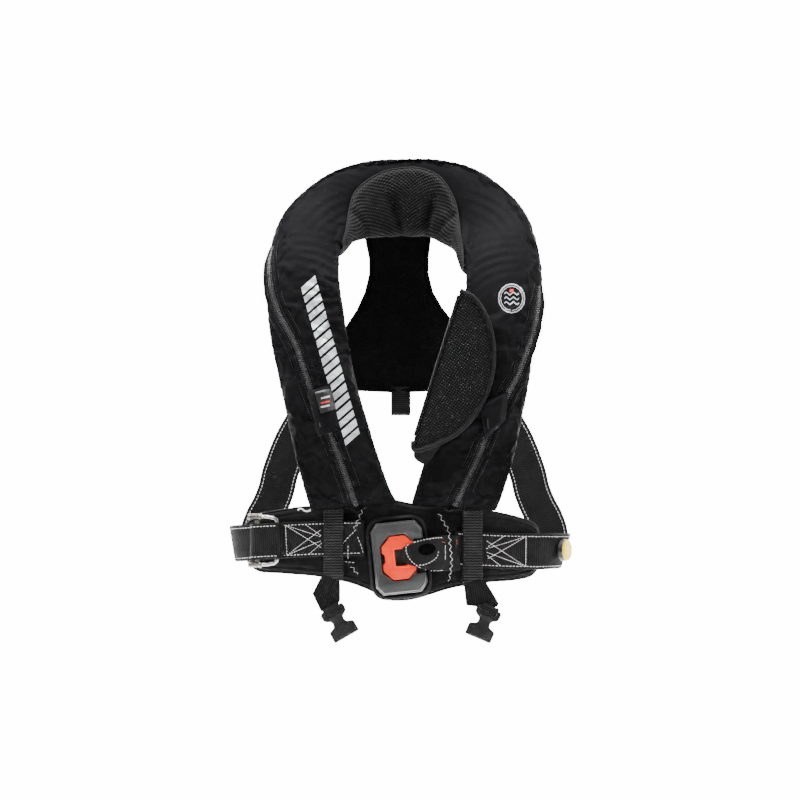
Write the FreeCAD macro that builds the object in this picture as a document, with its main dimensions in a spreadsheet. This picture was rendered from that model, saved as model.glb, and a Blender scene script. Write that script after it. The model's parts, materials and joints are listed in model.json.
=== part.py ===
import FreeCAD, Part
import math
import os
import Sketcher

# Inflatable life jacket, worn shape. Millimetres, +Z up, the wearer faces -Y.
# The origin is the middle of the neck opening. "left" is -X and "right" is +X, as seen from the front.

V = FreeCAD.Vector
os.makedirs("parts", exist_ok=True)
doc = FreeCAD.newDocument("life_jacket")

DIMENSIONS = (
    ("cover_skin", 2.0, "thickness of the bladder cover cloth"),
    ("mesh_pad_thick", 5.0, "thickness of the neck mesh pad"),
    ("bladder_width", 0.74, "folded bladder's width over the cover's width"),
    ("belt_width", 45.6, "webbing of the waist belt"),
    ("web_thick", 2.4, "thickness of webbing"),
    ("belt_front_rad", 500.0, "plan radius of the belt's front"),
    ("belt_side_rad", 46.0, "plan radius of the belt at the sides"),
    ("belt_front_share", 0.34, "sine of the angle where front meets side"),
    ("belt_middle_x", -5.0, "X of the belt's middle"),
    ("belt_inner_y", -84.0, "Y of the belt pad's inner face at the middle"),
    ("belt_left_level", -351.0, "Z of the left belt webbing's centre"),
    ("belt_right_level", -361.0, "Z of the right belt webbing's centre"),
    ("pad_thick", 8.0, "thickness of the belt pad"),
    ("layer_gap", 0.2, "gap between layers that lie on each other"),
    ("flap_thick", 7.0, "thickness of the comfort flap"),
    ("flap_border", 5.0, "width of the flap's bound edge"),
    ("flap_rear_y", -127.0, "Y of the flap's rear face"),
    ("back_rad", 205.0, "plan radius of the back panel"),
    ("back_thick", 6.0, "thickness of the back panel"),
    ("back_border", 5.0, "width of the back panel's bound edge"),
    ("tab_width", 22.0, "webbing of the hanging tab"),
    ("crotch_width", 25.0, "webbing of the crotch straps"),
    ("tape_width", 19.0, "width of a zip tape"),
    ("tape_thick", 1.0, "thickness of a zip tape"),
    ("teeth_width", 5.0, "width of a row of zip teeth"),
    ("teeth_thick", 1.2, "thickness of a row of zip teeth"),
    ("slider_width", 9.0, "zip slider"),
    ("slider_length", 13.0, "zip slider"),
    ("slider_thick", 2.6, "zip slider"),
    ("tape_lift", 2.0, "zip tape clear of the cover"),
    ("teeth_lift", 2.0, "zip teeth clear of the tape"),
    ("garage_length", 50.0, "zip garage along its zip"),
    ("label_thick", 0.8, "label patch on the left garage"),
    ("frame_floor", 3.0, "buckle frame's back plate"),
    ("frame_wall", 15.0, "buckle frame's walls in front of the plate"),
    ("tongue_thick", 6.0, "orange tongue plate"),
    ("buckle_pad_thick", 8.0, "padded base behind the buckle"),
    ("buckle_turn", -6.0, "turn of the buckle about Y, degrees"),
    ("wire_rad", 2.5, "steel wire of the adjuster bow"),
    ("sleeve_rad", 4.2, "outer radius of the adjuster's sleeves"),
    ("sleeve_fit", 0.05, "radial clearance of a sleeve on its wire"),
    ("sleeve_length", 18.0, "length of a sleeve"),
    ("bow_width", 37.0, "adjuster bow over its wire"),
    ("bow_height", 66.0, "adjuster bow over its wire"),
    ("cylinder_rad", 12.5, "gas cylinder"),
    ("cylinder_length", 132.0, "gas cylinder"),
    ("tube_rad", 6.0, "oral inflation tube"),
    ("tube_length", 120.0, "oral inflation tube"),
    ("cap_wall", 1.6, "dust cap on the oral tube"),
    ("inflator_width", 38.0, "inflator body"),
    ("inflator_depth", 15.0, "inflator body"),
    ("inflator_height", 36.0, "inflator body"),
    ("lever_thick", 3.0, "manual firing lever"),
    ("lever_pin_rad", 1.5, "pin of the firing lever"),
    ("button_rad", 13.0, "round button's base"),
    ("button_cap_rad", 11.0, "round button's cap"),
    ("button_base_thick", 2.5, "round button's base"),
    ("button_cap_thick", 4.0, "round button's cap"),
    ("whistle_thick", 9.0, "whistle"),
    ("cap_length", 16.0, "dust cap on the oral tube"),
    ("mouth_depth", 26.0, "cavity of a female side-release buckle"),
    ("socket_thick", 10.0, "female side-release buckle"),
)
sheet = doc.addObject("Spreadsheet::Sheet", "dims")
for row, (alias, value, note) in enumerate(DIMENSIONS, 1):
    sheet.set(f"A{row}", note)
    sheet.set(f"B{row}", str(value))
    sheet.setAlias(f"B{row}", alias)
doc.recompute()


def dim(alias):
    return float(sheet.get(alias))


subparts = []


def keep(obj, label):
    """Names an object as a sub-part, which gets a file of its own."""
    obj.Label = label
    subparts.append(obj)
    return obj


def free_shape(label, shape, placement=None):
    """A sub-part with a free-form shape of its own."""
    obj = doc.addObject("Part::Feature", label)
    obj.Shape = shape
    if placement is not None:
        obj.Placement = placement.multiply(shape.Placement)
    return keep(obj, label)


# ---------------------------------------------------------------- outlines

def rounded_edges(points, radius):
    """Lines and tangent arcs round a closed outline of 2-D points."""
    count = len(points)
    corners = [V(p[0], p[1], 0) for p in points]
    starts, ends, mids = [], [], []
    for i in range(count):
        here, back, ahead = corners[i], corners[i - 1], corners[(i + 1) % count]
        to_back, to_ahead = back - here, ahead - here
        half = to_back.getAngle(to_ahead) / 2
        reach = min(radius / math.tan(half), 0.45 * to_back.Length, 0.45 * to_ahead.Length)
        to_back.normalize()
        to_ahead.normalize()
        true_radius = reach * math.tan(half)
        inward = (to_back + to_ahead).normalize()
        starts.append(here + to_back * reach)
        ends.append(here + to_ahead * reach)
        mids.append(here + inward * (true_radius / math.sin(half) - true_radius))
    edges = []
    for i in range(count):
        edges.append(Part.Arc(starts[i], mids[i], ends[i]))
        edges.append(Part.LineSegment(ends[i], starts[(i + 1) % count]))
    return edges


def outline_wire(points, radius, plane):
    """The rounded outline as a wire in the XZ or the XY plane."""
    wire = Part.Wire([edge.toShape() for edge in rounded_edges(points, radius)])
    if plane == "XZ":
        wire.rotate(V(0, 0, 0), V(1, 0, 0), 90)
    return wire


def outline_prism(points, radius, y_front, y_rear):
    """The rounded XZ outline, extruded from y_front to y_rear."""
    face = Part.Face(outline_wire(points, radius, "XZ"))
    face.translate(V(0, y_front, 0))
    return face.extrude(V(0, y_rear - y_front, 0))


# ---------------------------------------------------------------- PartDesign helpers

def new_sketch(body, role, name):
    sketch = body.newObject("Sketcher::SketchObject", name)
    plane = next(f for f in body.Origin.OriginFeatures if f.Role == role)
    sketch.AttachmentSupport = [(plane, "")]
    sketch.MapMode = "FlatFace"
    return sketch


def draw_outline(sketch, points, radius=0.0):
    if radius > 0:
        geometry = rounded_edges(points, radius)
    else:
        corners = [V(p[0], p[1], 0) for p in points]
        geometry = [Part.LineSegment(a, b) for a, b in zip(corners, corners[1:] + corners[:1])]
    for curve in geometry:
        sketch.addGeometry(curve, False)


def draw_rectangle(sketch, width, height):
    """A rectangle about the sketch's origin, its sides bound to the sheet."""
    w, g = 10.0, 10.0
    corners = [V(-w, -g, 0), V(w, -g, 0), V(w, g, 0), V(-w, g, 0)]
    first = sketch.GeometryCount
    for i in range(4):
        sketch.addGeometry(Part.LineSegment(corners[i], corners[(i + 1) % 4]), False)
    for i in range(4):
        sketch.addConstraint(Sketcher.Constraint("Coincident", first + i, 2, first + (i + 1) % 4, 1))
    sketch.addConstraint(Sketcher.Constraint("Horizontal", first))
    sketch.addConstraint(Sketcher.Constraint("Horizontal", first + 2))
    sketch.addConstraint(Sketcher.Constraint("Vertical", first + 1))
    sketch.addConstraint(Sketcher.Constraint("Vertical", first + 3))
    sketch.addConstraint(Sketcher.Constraint("Symmetric", first, 1, first + 2, 1, -1, 1))
    wide = sketch.addConstraint(Sketcher.Constraint("DistanceX", first, 1, first, 2, 2 * w))
    tall = sketch.addConstraint(Sketcher.Constraint("DistanceY", first + 1, 1, first + 1, 2, 2 * g))
    sketch.setExpression(f"Constraints[{wide}]", width)
    sketch.setExpression(f"Constraints[{tall}]", height)


def pad(body, sketch, length, name):
    feature = body.newObject("PartDesign::Pad", name)
    feature.Profile = sketch
    feature.setExpression("Length", length)
    sketch.Visibility = False
    return feature


def plate_body(label, points, radius, thickness, placement):
    """A flat plate: an XZ outline, padded towards -Y from the placement's XZ plane."""
    body = doc.addObject("PartDesign::Body", label)
    sketch = new_sketch(body, "XZ_Plane", label + "_outline")
    draw_outline(sketch, points, radius)
    pad(body, sketch, thickness, label + "_pad")
    body.Placement = placement
    return keep(body, label)


def turned(x, y, z, about_y=0.0, about_z=0.0):
    """A placement at a point, turned about its own Y and then about Z, in degrees."""
    turn = FreeCAD.Rotation(V(0, 0, 1), about_z) * FreeCAD.Rotation(V(0, 1, 0), about_y)
    return FreeCAD.Placement(V(x, y, z), turn)


# ---------------------------------------------------------------- bladder cover

# Stations round half of the horseshoe, from the nape to the lobe's lower end:
# outer edge (x, z), inner edge (x, z), depth Y of the middle, half thickness.
STATIONS = (
    ((0, 130), (0, 35), 52, 18),
    ((44, 127), (28, 35), 47, 18),
    ((88, 112), (55, 31), 31, 18),
    ((125, 87), (71, 23), 3, 19),
    ((152, 55), (78, 10), -31, 20),
    ((168, 18), (80, -6), -62, 21),
    ((174, -24), (79, -28), -84, 23),
    ((173, -70), (75, -62), -96, 24),
    ((167, -112), (68, -108), -100, 25),
    ((158, -153), (58, -155), -101, 25),
    ((148, -200), (44, -203), -101, 25),
    ((136, -250), (29, -250), -102, 22),
    ((126, -291), (14, -288), -105, 16),
    ((119, -315), (5, -306), -108, 10),
)
ROUNDNESS = 2.5


def section_frames(side, first, last):
    """Middle, width vector, thickness vector of each station on one side, -1 left and +1 right."""
    middles = []
    for (xo, zo), (xi, zi), y, half in STATIONS:
        middles.append(V(side * (xo + xi) / 2, y, (zo + zi) / 2))
    frames = []
    for i in range(first, last + 1):
        (xo, zo), (xi, zi), y, half = STATIONS[i]
        width = V(side * (xo - xi) / 2, 0, (zo - zi) / 2)
        before = middles[max(i - 1, 0)]
        after = middles[min(i + 1, len(middles) - 1)]
        along = V(after.x - before.x, after.y - before.y, after.z - before.z)
        if i == 0:
            along = V(side, 0, 0)
        front = along.cross(V(width)).normalize()
        if front.y > 0:
            front = front * -1
        frames.append((middles[i], width, front * half))
    return frames


def ring_point(frame, angle, inset, offset=0.0, wide=1.0, thick=1.0):
    """A point of a section's rounded outline, inset by a skin's thickness."""
    middle, width, front = frame
    half_width = (width.Length - inset) * wide
    half_thick = (front.Length - inset) * thick
    c, s = math.cos(angle), math.sin(angle)
    along_width = math.copysign(abs(c) ** (2 / ROUNDNESS), c) * half_width
    along_front = math.copysign(abs(s) ** (2 / ROUNDNESS), s) * half_thick + offset * front.Length
    return middle + V(width).normalize() * along_width + V(front).normalize() * along_front


def spline_edge(points):
    curve = Part.BSplineCurve()
    curve.interpolate(points)
    return curve.toShape()


def skin_section(frame, start, stop, outer, skin):
    """A closed wire: an outer curve from start to stop, back along an inner one."""
    steps = 12
    angles = [start + (stop - start) * i / steps for i in range(steps + 1)]
    out = [ring_point(frame, a, outer) for a in angles]
    back = [ring_point(frame, a, outer + skin) for a in reversed(angles)]
    edges = [spline_edge(out), Part.LineSegment(out[-1], back[0]).toShape()]
    edges += [spline_edge(back), Part.LineSegment(back[-1], out[0]).toShape()]
    return Part.Wire(edges)


def skin_loft(frames, start_deg, stop_deg, outer, skin):
    start, stop = math.radians(start_deg), math.radians(stop_deg)
    wires = [skin_section(f, start, stop, outer, skin) for f in frames]
    return Part.makeLoft(wires, True, False)


SHOULDER = 4
LAST = len(STATIONS) - 1
SEAM_ANGLE = 52
skin = dim("cover_skin")

neck_frames = section_frames(-1, 1, SHOULDER)[::-1] + section_frames(1, 0, SHOULDER)
lobe_frames = {-1: section_frames(-1, SHOULDER, LAST), 1: section_frames(1, SHOULDER, LAST)}
SIDES = ((-1, "left"), (1, "right"))

covers = {}
for side, name in SIDES:
    covers[side] = free_shape(f"cover_front_{name}", skin_loft(lobe_frames[side], 0, 180, 0, skin))
    free_shape(f"cover_rear_{name}", skin_loft(lobe_frames[side], 180, 360, 0, skin))
free_shape("cover_front_neck", skin_loft(neck_frames, 0, SEAM_ANGLE, 0, skin))
free_shape("cover_rear_neck", skin_loft(neck_frames, 180, 360, 0, skin))
free_shape("neck_mesh_pad", skin_loft(neck_frames, SEAM_ANGLE + 1, 179.5, 0, dim("mesh_pad_thick")))


def bladder_section(frame):
    """A flat pack behind the front cloth."""
    steps = 8
    inset, share = dim("mesh_pad_thick"), dim("bladder_width")
    halves = []
    for start in (0, math.pi):
        angles = [start + math.pi * i / steps for i in range(steps + 1)]
        halves.append(spline_edge([ring_point(frame, a, inset, 0.48, share, 0.18) for a in angles]))
    return Part.Wire(halves)


whole_frames = section_frames(-1, 1, LAST - 1)[::-1] + section_frames(1, 0, LAST - 1)
free_shape("bladder", Part.makeLoft([bladder_section(f) for f in whole_frames], True, False))


def front_y(cover, x, z, beside):
    """The cover's front surface at a place seen from the front, or beside where the place is off it."""
    line = Part.makeLine(V(x, -300, z), V(x, 200, z))
    hit = cover.Shape.common(line)
    return min((v.Y for v in hit.Vertexes), default=beside)


# ---------------------------------------------------------------- burst zips

ZIP_PATHS = {
    -1: (
        (-161, 8), (-161, -11), (-159, -30), (-157, -48), (-154, -65), (-144, -90), (-131, -120), (-119, -152),
        (-106, -186), (-91, -221), (-80, -250), (-69, -281), (-61, -305),
    ),
    1: (
        (162, 8), (163, -14), (163, -37), (162, -53), (161, -69), (156, -97), (148, -121), (139, -146),
        (122, -180), (104, -217), (91, -250), (76, -281), (64, -305),
    ),
}


TAPE_WRAP = 2.0


def surface_strip(cover, path, width, lift, thick):
    """A thin strip that follows a path on the cover's front, lifted clear of it."""
    wires = []
    for i, (x, z) in enumerate(path):
        before, after = path[max(i - 1, 0)], path[min(i + 1, len(path) - 1)]
        along = V(after[0] - before[0], 0, after[1] - before[1]).normalize()
        across = V(along.z, 0, -along.x)
        left, right = V(x, 0, z) - across * (width / 2), V(x, 0, z) + across * (width / 2)
        furthest = front_y(cover, x, z, 0) + TAPE_WRAP
        for p in (left, right):
            p.y = min(front_y(cover, p.x, p.z, furthest), furthest) - lift
        corners = [left, right, right - V(0, thick, 0), left - V(0, thick, 0)]
        wires.append(Part.makePolygon(corners + corners[:1]))
    return Part.makeLoft(wires, True, True)


for side, name in SIDES:
    path = ZIP_PATHS[side]
    tape = surface_strip(covers[side], path, dim("tape_width"), dim("tape_lift"), dim("tape_thick"))
    free_shape(f"zip_tape_{name}", tape)
    teeth_lift = dim("tape_lift") + dim("tape_thick") + dim("layer_gap") + dim("teeth_lift")
    teeth = surface_strip(covers[side], path, dim("teeth_width"), teeth_lift, dim("teeth_thick"))
    free_shape(f"zip_teeth_{name}", teeth)

GARAGE_LEAN = {-1: -19.0, 1: 25.0}
GARAGE_MIDDLE = {-1: (-103, -192), 1: (114.5, -195)}
GARAGE_Y = -136.0
GARAGE_CHANNEL = (
    (-15, 0), (-15, -2), (15, -2), (15, 0), (15, 8), (13, 8), (13, 0), (-13, 0), (-13, 8), (-15, 8),
)
SLIDER_DEPTH = 3.1
for side, name in SIDES:
    place = turned(GARAGE_MIDDLE[side][0], GARAGE_Y, GARAGE_MIDDLE[side][1], GARAGE_LEAN[side])
    body = doc.addObject("PartDesign::Body", f"zip_garage_{name}")
    sketch = new_sketch(body, "XY_Plane", f"zip_garage_{name}_channel")
    draw_outline(sketch, GARAGE_CHANNEL)
    pad(body, sketch, "dims.garage_length", f"zip_garage_{name}_pad")
    lower = turned(0, 0, -dim("garage_length") / 2)
    body.Placement = FreeCAD.Placement(place.Base, place.Rotation).multiply(lower)
    keep(body, f"zip_garage_{name}")

    slider = doc.addObject("PartDesign::Body", f"zip_slider_{name}")
    sketch = new_sketch(slider, "XZ_Plane", f"zip_slider_{name}_plate")
    draw_rectangle(sketch, "dims.slider_width", "dims.slider_length")
    pad(slider, sketch, "dims.slider_thick", f"zip_slider_{name}_pad")
    slider.Placement = FreeCAD.Placement(place.Base, place.Rotation).multiply(turned(0, SLIDER_DEPTH, -10))
    keep(slider, f"zip_slider_{name}")

LABEL_OUTLINE = ((-10, -12), (10, -12), (10, 12), (-10, 12))
label_place = FreeCAD.Placement(V(-103, GARAGE_Y - 2.1, -192), FreeCAD.Rotation(V(0, 1, 0), GARAGE_LEAN[-1]))
plate_body("label_patch", LABEL_OUTLINE, 1.5, "dims.label_thick", label_place)


# ---------------------------------------------------------------- comfort flap

FLAP_OUTLINE = (
    (70, -38), (102, -50), (115, -112), (104, -182), (70, -221), (10, -248), (10.5, -228),
)
FLAP_ROUND = 60.0


def flap_prism(inset):
    face = Part.Face(outline_wire(FLAP_OUTLINE, FLAP_ROUND, "XZ"))
    if inset > 0:
        face = face.makeOffset2D(-inset)
    face.translate(V(0, dim("flap_rear_y"), 0))
    return face.extrude(V(0, -dim("flap_thick"), 0))


def bound_panel(name, solid, inner):
    """Splits a panel into its middle and its bound edge."""
    free_shape(name, solid.common(inner))
    free_shape(name + "_binding", solid.cut(inner))


bound_panel("comfort_flap", flap_prism(0), flap_prism(dim("flap_border")))

web_front = dim("flap_rear_y") + 1.0
web_sections = []
for x, z, inner in ((66, -50, 74), (50, -102, 67), (33, -156, 56), (17, -207, 41)):
    corners = [V(x, web_front, z), V(x + 2, web_front, z), V(inner, -103, z), V(inner - 2.5, -103, z)]
    web_sections.append(Part.makePolygon(corners + corners[:1]))
free_shape("flap_web", Part.makeLoft(web_sections, True, True))


# ---------------------------------------------------------------- back panel

BACK_OUTLINE = (
    (-48, 58), (34, 58), (30, 20), (27, -4), (36, -42), (56, -76), (92, -110), (118, -132),
    (112, -152), (60, -160), (-7, -163), (-74, -160), (-126, -152), (-132, -132), (-106, -110),
    (-71, -82), (-50, -47), (-40, -4), (-44, 20),
)


def back_ring(extra):
    """The round wall that the back panel is cut from, Z -200 to 80."""
    radius = dim("back_rad")
    centre = V(-7, 80 - radius, -200)
    outer = Part.makeCylinder(radius + dim("back_thick") + extra, 280, centre)
    inner = Part.makeCylinder(radius - extra, 280, centre)
    return outer.cut(inner)


back_solid = back_ring(0).common(outline_prism(BACK_OUTLINE, 14, 0, 120))
back_face = Part.Face(outline_wire(BACK_OUTLINE, 14, "XZ"))
back_middle = back_face.makeOffset2D(-dim("back_border")).extrude(V(0, 120, 0))
bound_panel("back_panel", back_solid, back_middle)

tab = doc.addObject("PartDesign::Body", "hanging_tab")
tab_sketch = new_sketch(tab, "YZ_Plane", "hanging_tab_loop")
TAB_LOOP = ((0, 0), (0, -31), (10, -31), (10, 0), (7.6, 0), (7.6, -28.6), (2.4, -28.6), (2.4, 0))
draw_outline(tab_sketch, TAB_LOOP)
pad(tab, tab_sketch, "dims.tab_width", "hanging_tab_pad")
tab.Placement = turned(-15, 78.0, -163.4)
keep(tab, "hanging_tab")


# ---------------------------------------------------------------- waist belt

belt_radius = dim("belt_front_rad")
side_radius = dim("belt_side_rad")
middle_x = dim("belt_middle_x")
front_centre = V(middle_x, dim("belt_inner_y") + belt_radius, 0)
turn_angle = math.asin(dim("belt_front_share"))
corner_reach = (belt_radius - side_radius) * math.sin(turn_angle)
corner_y = front_centre.y - (belt_radius - side_radius) * math.cos(turn_angle)


def belt_point(angle, offset):
    """A point of the belt's plan curve; the angle is in radians from -Y, positive to +X."""
    side = math.copysign(1, angle)
    size = abs(angle)
    if size <= turn_angle:
        centre, radius = front_centre, belt_radius
    else:
        centre, radius = V(middle_x + side * corner_reach, corner_y, 0), side_radius
    reach = radius + offset
    return V(centre.x + side * reach * math.sin(size), centre.y - reach * math.cos(size), 0)


def belt_curve(start, stop, offset):
    """Arcs of the belt's plan curve from one angle to another, in order."""
    stops = [start] + [a for a in (-turn_angle, turn_angle) if start < a < stop] + [stop]
    arcs = []
    for a, b in zip(stops, stops[1:]):
        arcs.append(Part.Arc(belt_point(a, offset), belt_point((a + b) / 2, offset), belt_point(b, offset)))
    return arcs


def band_face(start, stop, offset, thick):
    inner = [arc.toShape() for arc in belt_curve(start, stop, offset)]
    outer = [arc.toShape() for arc in belt_curve(start, stop, offset + thick)]
    ends = []
    for angle in (start, stop):
        ends.append(Part.LineSegment(belt_point(angle, offset), belt_point(angle, offset + thick)).toShape())
    return Part.Face(Part.Wire(Part.__sortEdges__(inner + outer + ends)))


def band(start, stop, offset, thick, low, high):
    face = band_face(start, stop, offset, thick)
    face.translate(V(0, 0, low))
    return face.extrude(V(0, 0, high - low))


def belt_band_body(label, start, stop, offset, thick, level):
    """A length of belt webbing: a plan sketch of tangent arcs, padded to the belt's width."""
    body = doc.addObject("PartDesign::Body", label)
    sketch = new_sketch(body, "XY_Plane", label + "_plan")
    for arc in belt_curve(start, stop, offset) + belt_curve(start, stop, offset + thick):
        sketch.addGeometry(arc, False)
    for angle in (start, stop):
        line = Part.LineSegment(belt_point(angle, offset), belt_point(angle, offset + thick))
        sketch.addGeometry(line, False)
    pad(body, sketch, "dims.belt_width", label + "_pad")
    body.setExpression("Placement.Base.z", f"dims.{level} - dims.belt_width / 2")
    return keep(body, label)


pad_thick = dim("pad_thick")
gap = dim("layer_gap")
web = dim("web_thick")
PAD_LEFT = (
    (-20.2, -318), (-60, -319), (-120, -315), (-185, -318), (-202, -332), (-206, -352), (-198, -377),
    (-182, -388), (-105, -394), (-41, -410), (-20.2, -425),
)
PAD_RIGHT = (
    (-19.8, -318), (20, -319), (60, -318), (115, -320), (153, -324), (169, -336), (172, -360), (170, -386),
    (162, -394), (141, -400), (105, -402), (76, -406), (12, -422), (-11, -427), (-19.8, -426),
)
BELT_END = math.radians(150)
PAD_END = math.radians(100)
for label, points in (("belt_pad_left", PAD_LEFT), ("belt_pad_right", PAD_RIGHT)):
    ring = band(-PAD_END, PAD_END, 0, pad_thick, -440, -300)
    free_shape(label, ring.common(outline_prism(points, 6, -130, 30)))

web_offset = pad_thick + web + 2 * gap
belt_band_body("belt_webbing_left", -BELT_END, math.radians(-5), web_offset, web, "belt_left_level")
belt_band_body("belt_webbing_right", math.radians(7.6), BELT_END, web_offset, web, "belt_right_level")


# ---------------------------------------------------------------- back straps

STRAP_PATH = (
    (174, 43, -374), (172, 45, -345), (167, 49, -312), (158, 53, -280), (146, 57, -248),
    (130, 61, -216), (112, 64, -190), (96, 66, -168), (84, 68, -150),
)


def strap_loft(side):
    """Webbing from the belt's rear end up to the back panel's lower corner."""
    shift = -11 if side < 0 else 0
    path = [V(side * x + shift, y, z) for x, y, z in STRAP_PATH]
    wires = []
    for i, p in enumerate(path):
        along = path[min(i + 1, len(path) - 1)] - path[max(i - 1, 0)]
        along.normalize()
        across = along.cross(V(side * 0.25, 1, 0)).normalize()
        normal = across.cross(along).normalize()
        half, thick = dim("belt_width") / 2, web
        corners = [p - across * half, p + across * half]
        corners += [corners[1] + normal * thick, corners[0] + normal * thick]
        wires.append(Part.makePolygon(corners + corners[:1]))
    return Part.makeLoft(wires, True, False)


for side, name in SIDES:
    free_shape(f"back_strap_{name}", strap_loft(side))


# ---------------------------------------------------------------- crotch straps

LOOP_LEVELS = {-1: (-396, -318.5), 1: (-403, -321.5)}
LOOP_PLACES = {-1: -87, 1: 84.5}
LOOP_SLACK = 0.4
for side, name in SIDES:
    low, high = LOOP_LEVELS[side]
    angle = math.asin((LOOP_PLACES[side] - middle_x) / belt_radius)
    foot = belt_point(angle, 0)
    body = doc.addObject("PartDesign::Body", f"crotch_loop_{name}")
    sketch = new_sketch(body, "YZ_Plane", f"crotch_loop_{name}_section")
    inner_low, inner_high = low + web, high - web
    rear, front = pad_thick + gap, web_offset + web + LOOP_SLACK + web
    outer_ring = ((-front, low), (-rear, low), (-rear, high), (-front, high))
    near, far = -rear - web + gap, -front + web
    inner_ring = ((far, inner_low), (near, inner_low), (near, inner_high), (far, inner_high))
    draw_outline(sketch, outer_ring, 2.2)
    draw_outline(sketch, inner_ring, 0.8)
    pad(body, sketch, "dims.crotch_width", f"crotch_loop_{name}_pad")
    shift = turned(-dim("crotch_width") / 2, 0, 0)
    body.Placement = turned(foot.x, foot.y, 0, 0, math.degrees(angle)).multiply(shift)
    keep(body, f"crotch_loop_{name}")

TAIL_OUTLINE = {
    -1: ((-101, -396.3), (-76, -396.3), (-80, -412), (-83, -427), (-101, -435), (-113, -420)),
    1: ((74, -403.3), (99, -403.3), (112, -418), (115, -428), (99, -426), (77, -430)),
}
TAIL_DEPTH = -90.0
for side, name in SIDES:
    place = turned(0, TAIL_DEPTH, 0)
    plate_body(f"crotch_tail_{name}", TAIL_OUTLINE[side], 3, "2 * dims.web_thick", place)

# The buckle hangs below its tail; its own frame has the webbing bar at the origin, the mouth at -Z.
SOCKET_TOP = {-1: (-90.5, -437.2), 1: (107, -437.2)}
SOCKET_LEAN = {-1: -30.0, 1: 23.0}
socket_depth = TAIL_DEPTH - web + dim("socket_thick") / 2
WAIST_OUTLINE = (
    (-14, 0), (14, 0), (14, -8), (11.5, -15), (16.5, -24), (16.5, -39), (-16.5, -39), (-16.5, -24),
    (-11.5, -15), (-14, -8),
)
MOUTH_OUTLINE = ((-13.5, -2), (13.5, -2), (13.5, -8), (-13.5, -8))
for side, name in SIDES:
    body = doc.addObject("PartDesign::Body", f"crotch_buckle_{name}")
    shell = new_sketch(body, "XZ_Plane", f"crotch_buckle_{name}_outline")
    draw_outline(shell, WAIST_OUTLINE, 2)
    pad(body, shell, "dims.socket_thick", f"crotch_buckle_{name}_pad")
    doc.recompute()
    mouth = new_sketch(body, "XY_Plane", f"crotch_buckle_{name}_mouth")
    draw_outline(mouth, MOUTH_OUTLINE, 1)
    mouth.AttachmentOffset = FreeCAD.Placement(V(0, 0, -39), FreeCAD.Rotation())
    cavity = body.newObject("PartDesign::Pocket", f"crotch_buckle_{name}_cavity")
    cavity.Profile = mouth
    cavity.setExpression("Length", "dims.mouth_depth")
    cavity.Reversed = True
    slot = new_sketch(body, "XZ_Plane", f"crotch_buckle_{name}_slot")
    draw_outline(slot, ((-11.5, -3.5), (11.5, -3.5), (11.5, -9.5), (-11.5, -9.5)), 1.5)
    opening = body.newObject("PartDesign::Pocket", f"crotch_buckle_{name}_opening")
    opening.Profile = slot
    opening.Type = 1
    opening.Reversed = True
    top_x, top_z = SOCKET_TOP[side]
    body.Placement = turned(top_x, socket_depth, top_z, SOCKET_LEAN[side])
    keep(body, f"crotch_buckle_{name}")


# ---------------------------------------------------------------- centre buckle

BUCKLE = (-6.5, -372.0)
buckle_turn = dim("buckle_turn")
base_front = belt_point(0, web_offset + web).y - 0.3
BASE_OUTLINE = ((-40, -50), (36, -52), (36, 48), (-40, 48))
base_place = turned(BUCKLE[0] - 3, base_front, BUCKLE[1], buckle_turn)
plate_body("buckle_pad", BASE_OUTLINE, 22, "dims.buckle_pad_thick", base_place)
frame_rear = base_front - dim("buckle_pad_thick") - gap
buckle_place = turned(BUCKLE[0], frame_rear, BUCKLE[1], buckle_turn)

PLATE = ((-32, -34), (-22, -45), (22, -45), (33, -34), (33, 34), (22, 45), (-22, 45), (-32, 34))
WALL = (
    (-32, -34), (-22, -45), (22, -45), (33, -34), (33, -29.5), (-12, -29.5), (-20.5, -21), (-20.5, 21),
    (-12, 29.5), (33, 29.5), (33, 34), (22, 45), (-22, 45), (-32, 34),
)
frame_body = doc.addObject("PartDesign::Body", "buckle_frame")
plate_sketch = new_sketch(frame_body, "XZ_Plane", "buckle_frame_plate")
draw_outline(plate_sketch, PLATE, 2)
pad(frame_body, plate_sketch, "dims.frame_floor", "buckle_frame_floor")
doc.recompute()
wall_sketch = new_sketch(frame_body, "XZ_Plane", "buckle_frame_walls")
draw_outline(wall_sketch, WALL, 2)
pad(frame_body, wall_sketch, "dims.frame_floor + dims.frame_wall", "buckle_frame_walls_pad")
frame_body.Placement = buckle_place
keep(frame_body, "buckle_frame")

TONGUE = (
    (-18, -18), (-9, -27.5), (14, -27.5), (22.5, -19), (22.5, 19), (14, 27.5), (-9, 27.5), (-18, 18),
    (-18, 6), (-15, 3), (-15, -3), (-18, -6),
)
TONGUE_HOLE = ((-4.5, -13), (10, -13), (10, 7), (-4.5, 7))
tongue = doc.addObject("PartDesign::Body", "buckle_tongue")
tongue_sketch = new_sketch(tongue, "XZ_Plane", "buckle_tongue_outline")
draw_outline(tongue_sketch, TONGUE, 1.5)
draw_outline(tongue_sketch, TONGUE_HOLE, 1)
pad(tongue, tongue_sketch, "dims.tongue_thick", "buckle_tongue_pad")
TONGUE_LIFT = 10.0
tongue.Placement = buckle_place.multiply(turned(0, -TONGUE_LIFT, 0))
keep(tongue, "buckle_tongue")

spring_rings = []
for height in (16.0, -16.0):
    for turn in range(3):
        ring = Part.makeTorus(3.2, 0.5, V(-11, -4.2 - 2.2 * turn, height), V(0, 1, 0))
        spring_rings.append(ring)
free_shape("buckle_spring", Part.makeCompound(spring_rings), buckle_place)

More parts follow.
